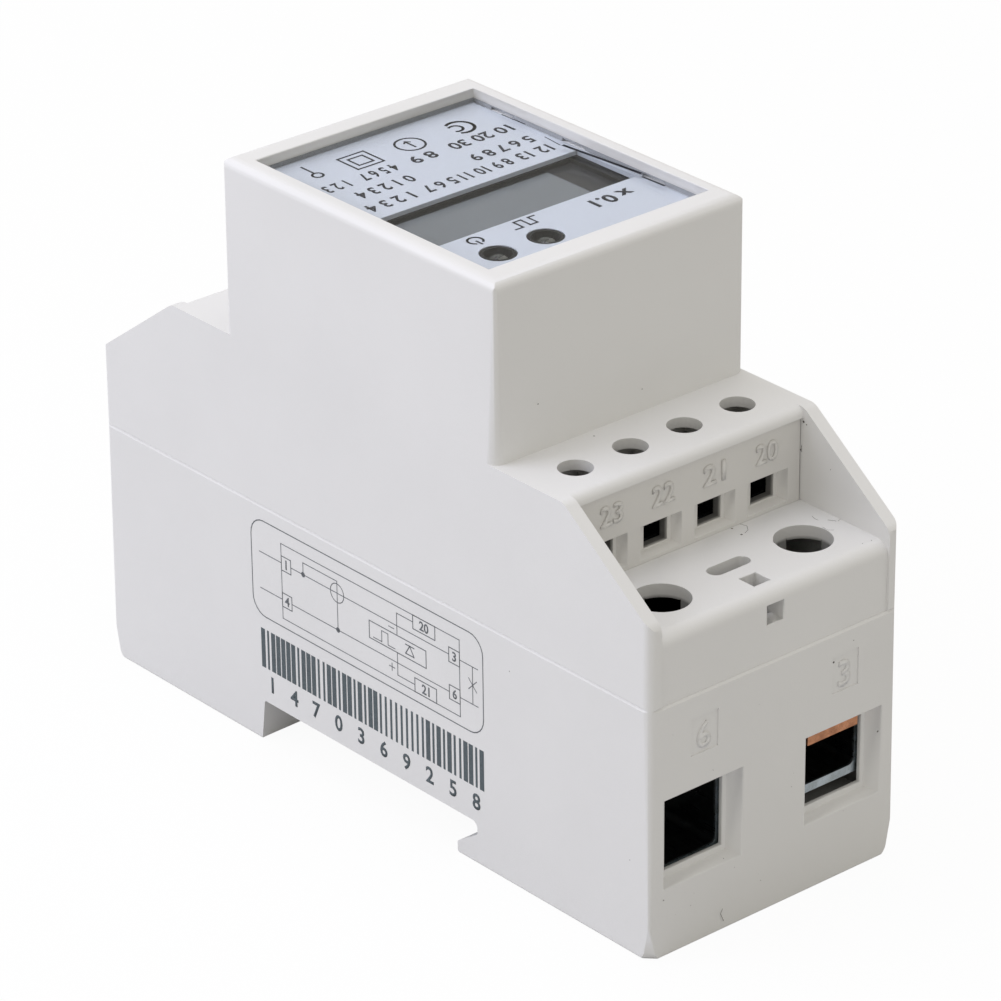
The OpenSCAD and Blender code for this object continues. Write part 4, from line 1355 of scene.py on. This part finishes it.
class METER_OT_stage(bpy.types.Operator):
    """Sets the pale floor, the soft light and the camera."""

    bl_idname = "meter.stage"
    bl_label = "Stage"

    def execute(self, context):
        s = context.scene.meter_stage
        self.lay_floor(s.floor_colour, s.shadow)
        self.light_world(context.scene, s.sky)
        self.hang("side soft box", (-0.50, 0.34, 0.40), 0.45, s.key, (0.79, 0.82, 1))
        self.hang("top soft box", (-0.05, 0.05, 0.80), 0.5, s.top, (0.85, 0.865, 1))
        self.aim_camera(context.scene)
        context.scene.view_settings.view_transform = "Standard"
        return {"FINISHED"}

    def lay_floor(self, colour, shadow):
        """A pale floor that glows white to the camera and keeps a share of its own shading."""
        bm = bmesh.new()
        bmesh.ops.create_grid(bm, x_segments=1, y_segments=1, size=3)
        bmesh.ops.translate(bm, verts=bm.verts, vec=(0, 0, -2e-5))
        f = Finish("pale floor", colour, 0.7)
        path = f.add("ShaderNodeLightPath")
        glow = f.add("ShaderNodeEmission", {"Strength": 1.03})
        f.covered(f.maths("MULTIPLY", path.outputs["Is Camera Ray"], 1 - shadow), glow)
        new_object("floor", mesh_of(bm, "floor", [f.material]))

    def light_world(self, scene, sky):
        """Even light from all round, which the camera sees as white."""
        world = bpy.data.worlds.new("soft studio")
        world.use_nodes = True
        world.node_tree.nodes.clear()
        w = Nodes(world.node_tree)
        path = w.add("ShaderNodeLightPath")
        light = w.add("ShaderNodeBackground", {"Color": (1, 0.968, 0.886, 1), "Strength": sky})
        white = w.add("ShaderNodeBackground", {"Color": WHITE})
        feeds = {0: path.outputs["Is Camera Ray"], 1: light.outputs[0], 2: white.outputs[0]}
        mix = w.add("ShaderNodeMixShader", feeds)
        w.add("ShaderNodeOutputWorld", {"Surface": mix.outputs[0]})
        scene.world = world

    def hang(self, name, place, size, power, colour):
        """A square soft box that faces the meter's middle."""
        data = bpy.data.lights.new(name, "AREA")
        data.shape = "RECTANGLE"
        data.size = data.size_y = size
        data.energy = power
        data.color = colour
        lamp = new_object(name, data)
        lamp.location = place
        aim = Vector((0, 0, 0.035)) - Vector(place)
        lamp.rotation_euler = aim.to_track_quat("-Z", "Y").to_euler()

    def aim_camera(self, scene):
        look = Vector(CAMERA_LOOK).normalized()
        right = look.cross(Vector(UP)).normalized()
        up = right.cross(look)
        roll = math.radians(CAMERA_ROLL)
        across = right * math.cos(roll) + up * math.sin(roll)
        upright = across.cross(look)
        camera = new_object("camera", bpy.data.cameras.new("camera"))
        camera.matrix_world = Matrix((across, upright, -look)).transposed().to_4x4()
        camera.location = CAMERA_PLACE
        camera.data.sensor_width = SENSOR
        camera.data.lens = SENSOR / 2 / math.tan(math.radians(CAMERA_ANGLE / 2))
        camera.data.clip_start = 0.02
        scene.camera = camera


STEPS = (
    METER_OT_mouldings,
    METER_OT_window,
    METER_OT_indicators,
    METER_OT_terminals,
    METER_OT_rail_latch,
    METER_OT_electronics,
    METER_OT_face_print,
    METER_OT_side_print,
    METER_OT_numerals,
    METER_OT_marks,
    METER_OT_stage,
)
GROUPS = {
    "meter_mouldings": MeterMouldings,
    "meter_face": MeterFace,
    "meter_side_print": MeterSidePrint,
    "meter_metals": MeterMetals,
    "meter_stage": MeterStage,
}


class METER_PT_panel(bpy.types.Panel):
    bl_idname = "METER_PT_panel"
    bl_label = "Energy meter"
    bl_space_type = "VIEW_3D"
    bl_region_type = "UI"
    bl_category = "Meter"

    def draw(self, context):
        for step in STEPS:
            self.layout.operator(step.bl_idname)
        for group in GROUPS:
            box = self.layout.box()
            owner = getattr(context.scene, group)
            for key in type(owner).__annotations__:
                box.prop(owner, key)


def register():
    for group, kind in GROUPS.items():
        bpy.utils.register_class(kind)
        setattr(bpy.types.Scene, group, PointerProperty(type=kind))
    for kind in (*STEPS, METER_PT_panel):
        bpy.utils.register_class(kind)


def unregister():
    for kind in (METER_PT_panel, *reversed(STEPS)):
        bpy.utils.unregister_class(kind)
    for group, kind in reversed(list(GROUPS.items())):
        delattr(bpy.types.Scene, group)
        bpy.utils.unregister_class(kind)


def main():
    register()
    bpy.ops.meter.mouldings()
    bpy.ops.meter.window()
    bpy.ops.meter.indicators()
    bpy.ops.meter.terminals()
    bpy.ops.meter.rail_latch()
    bpy.ops.meter.electronics()
    bpy.ops.meter.face_print()
    bpy.ops.meter.side_print()
    bpy.ops.meter.numerals()
    bpy.ops.meter.marks()
    bpy.ops.meter.stage()
    bpy.context.view_layer.update()


if __name__ == "__main__":
    main()
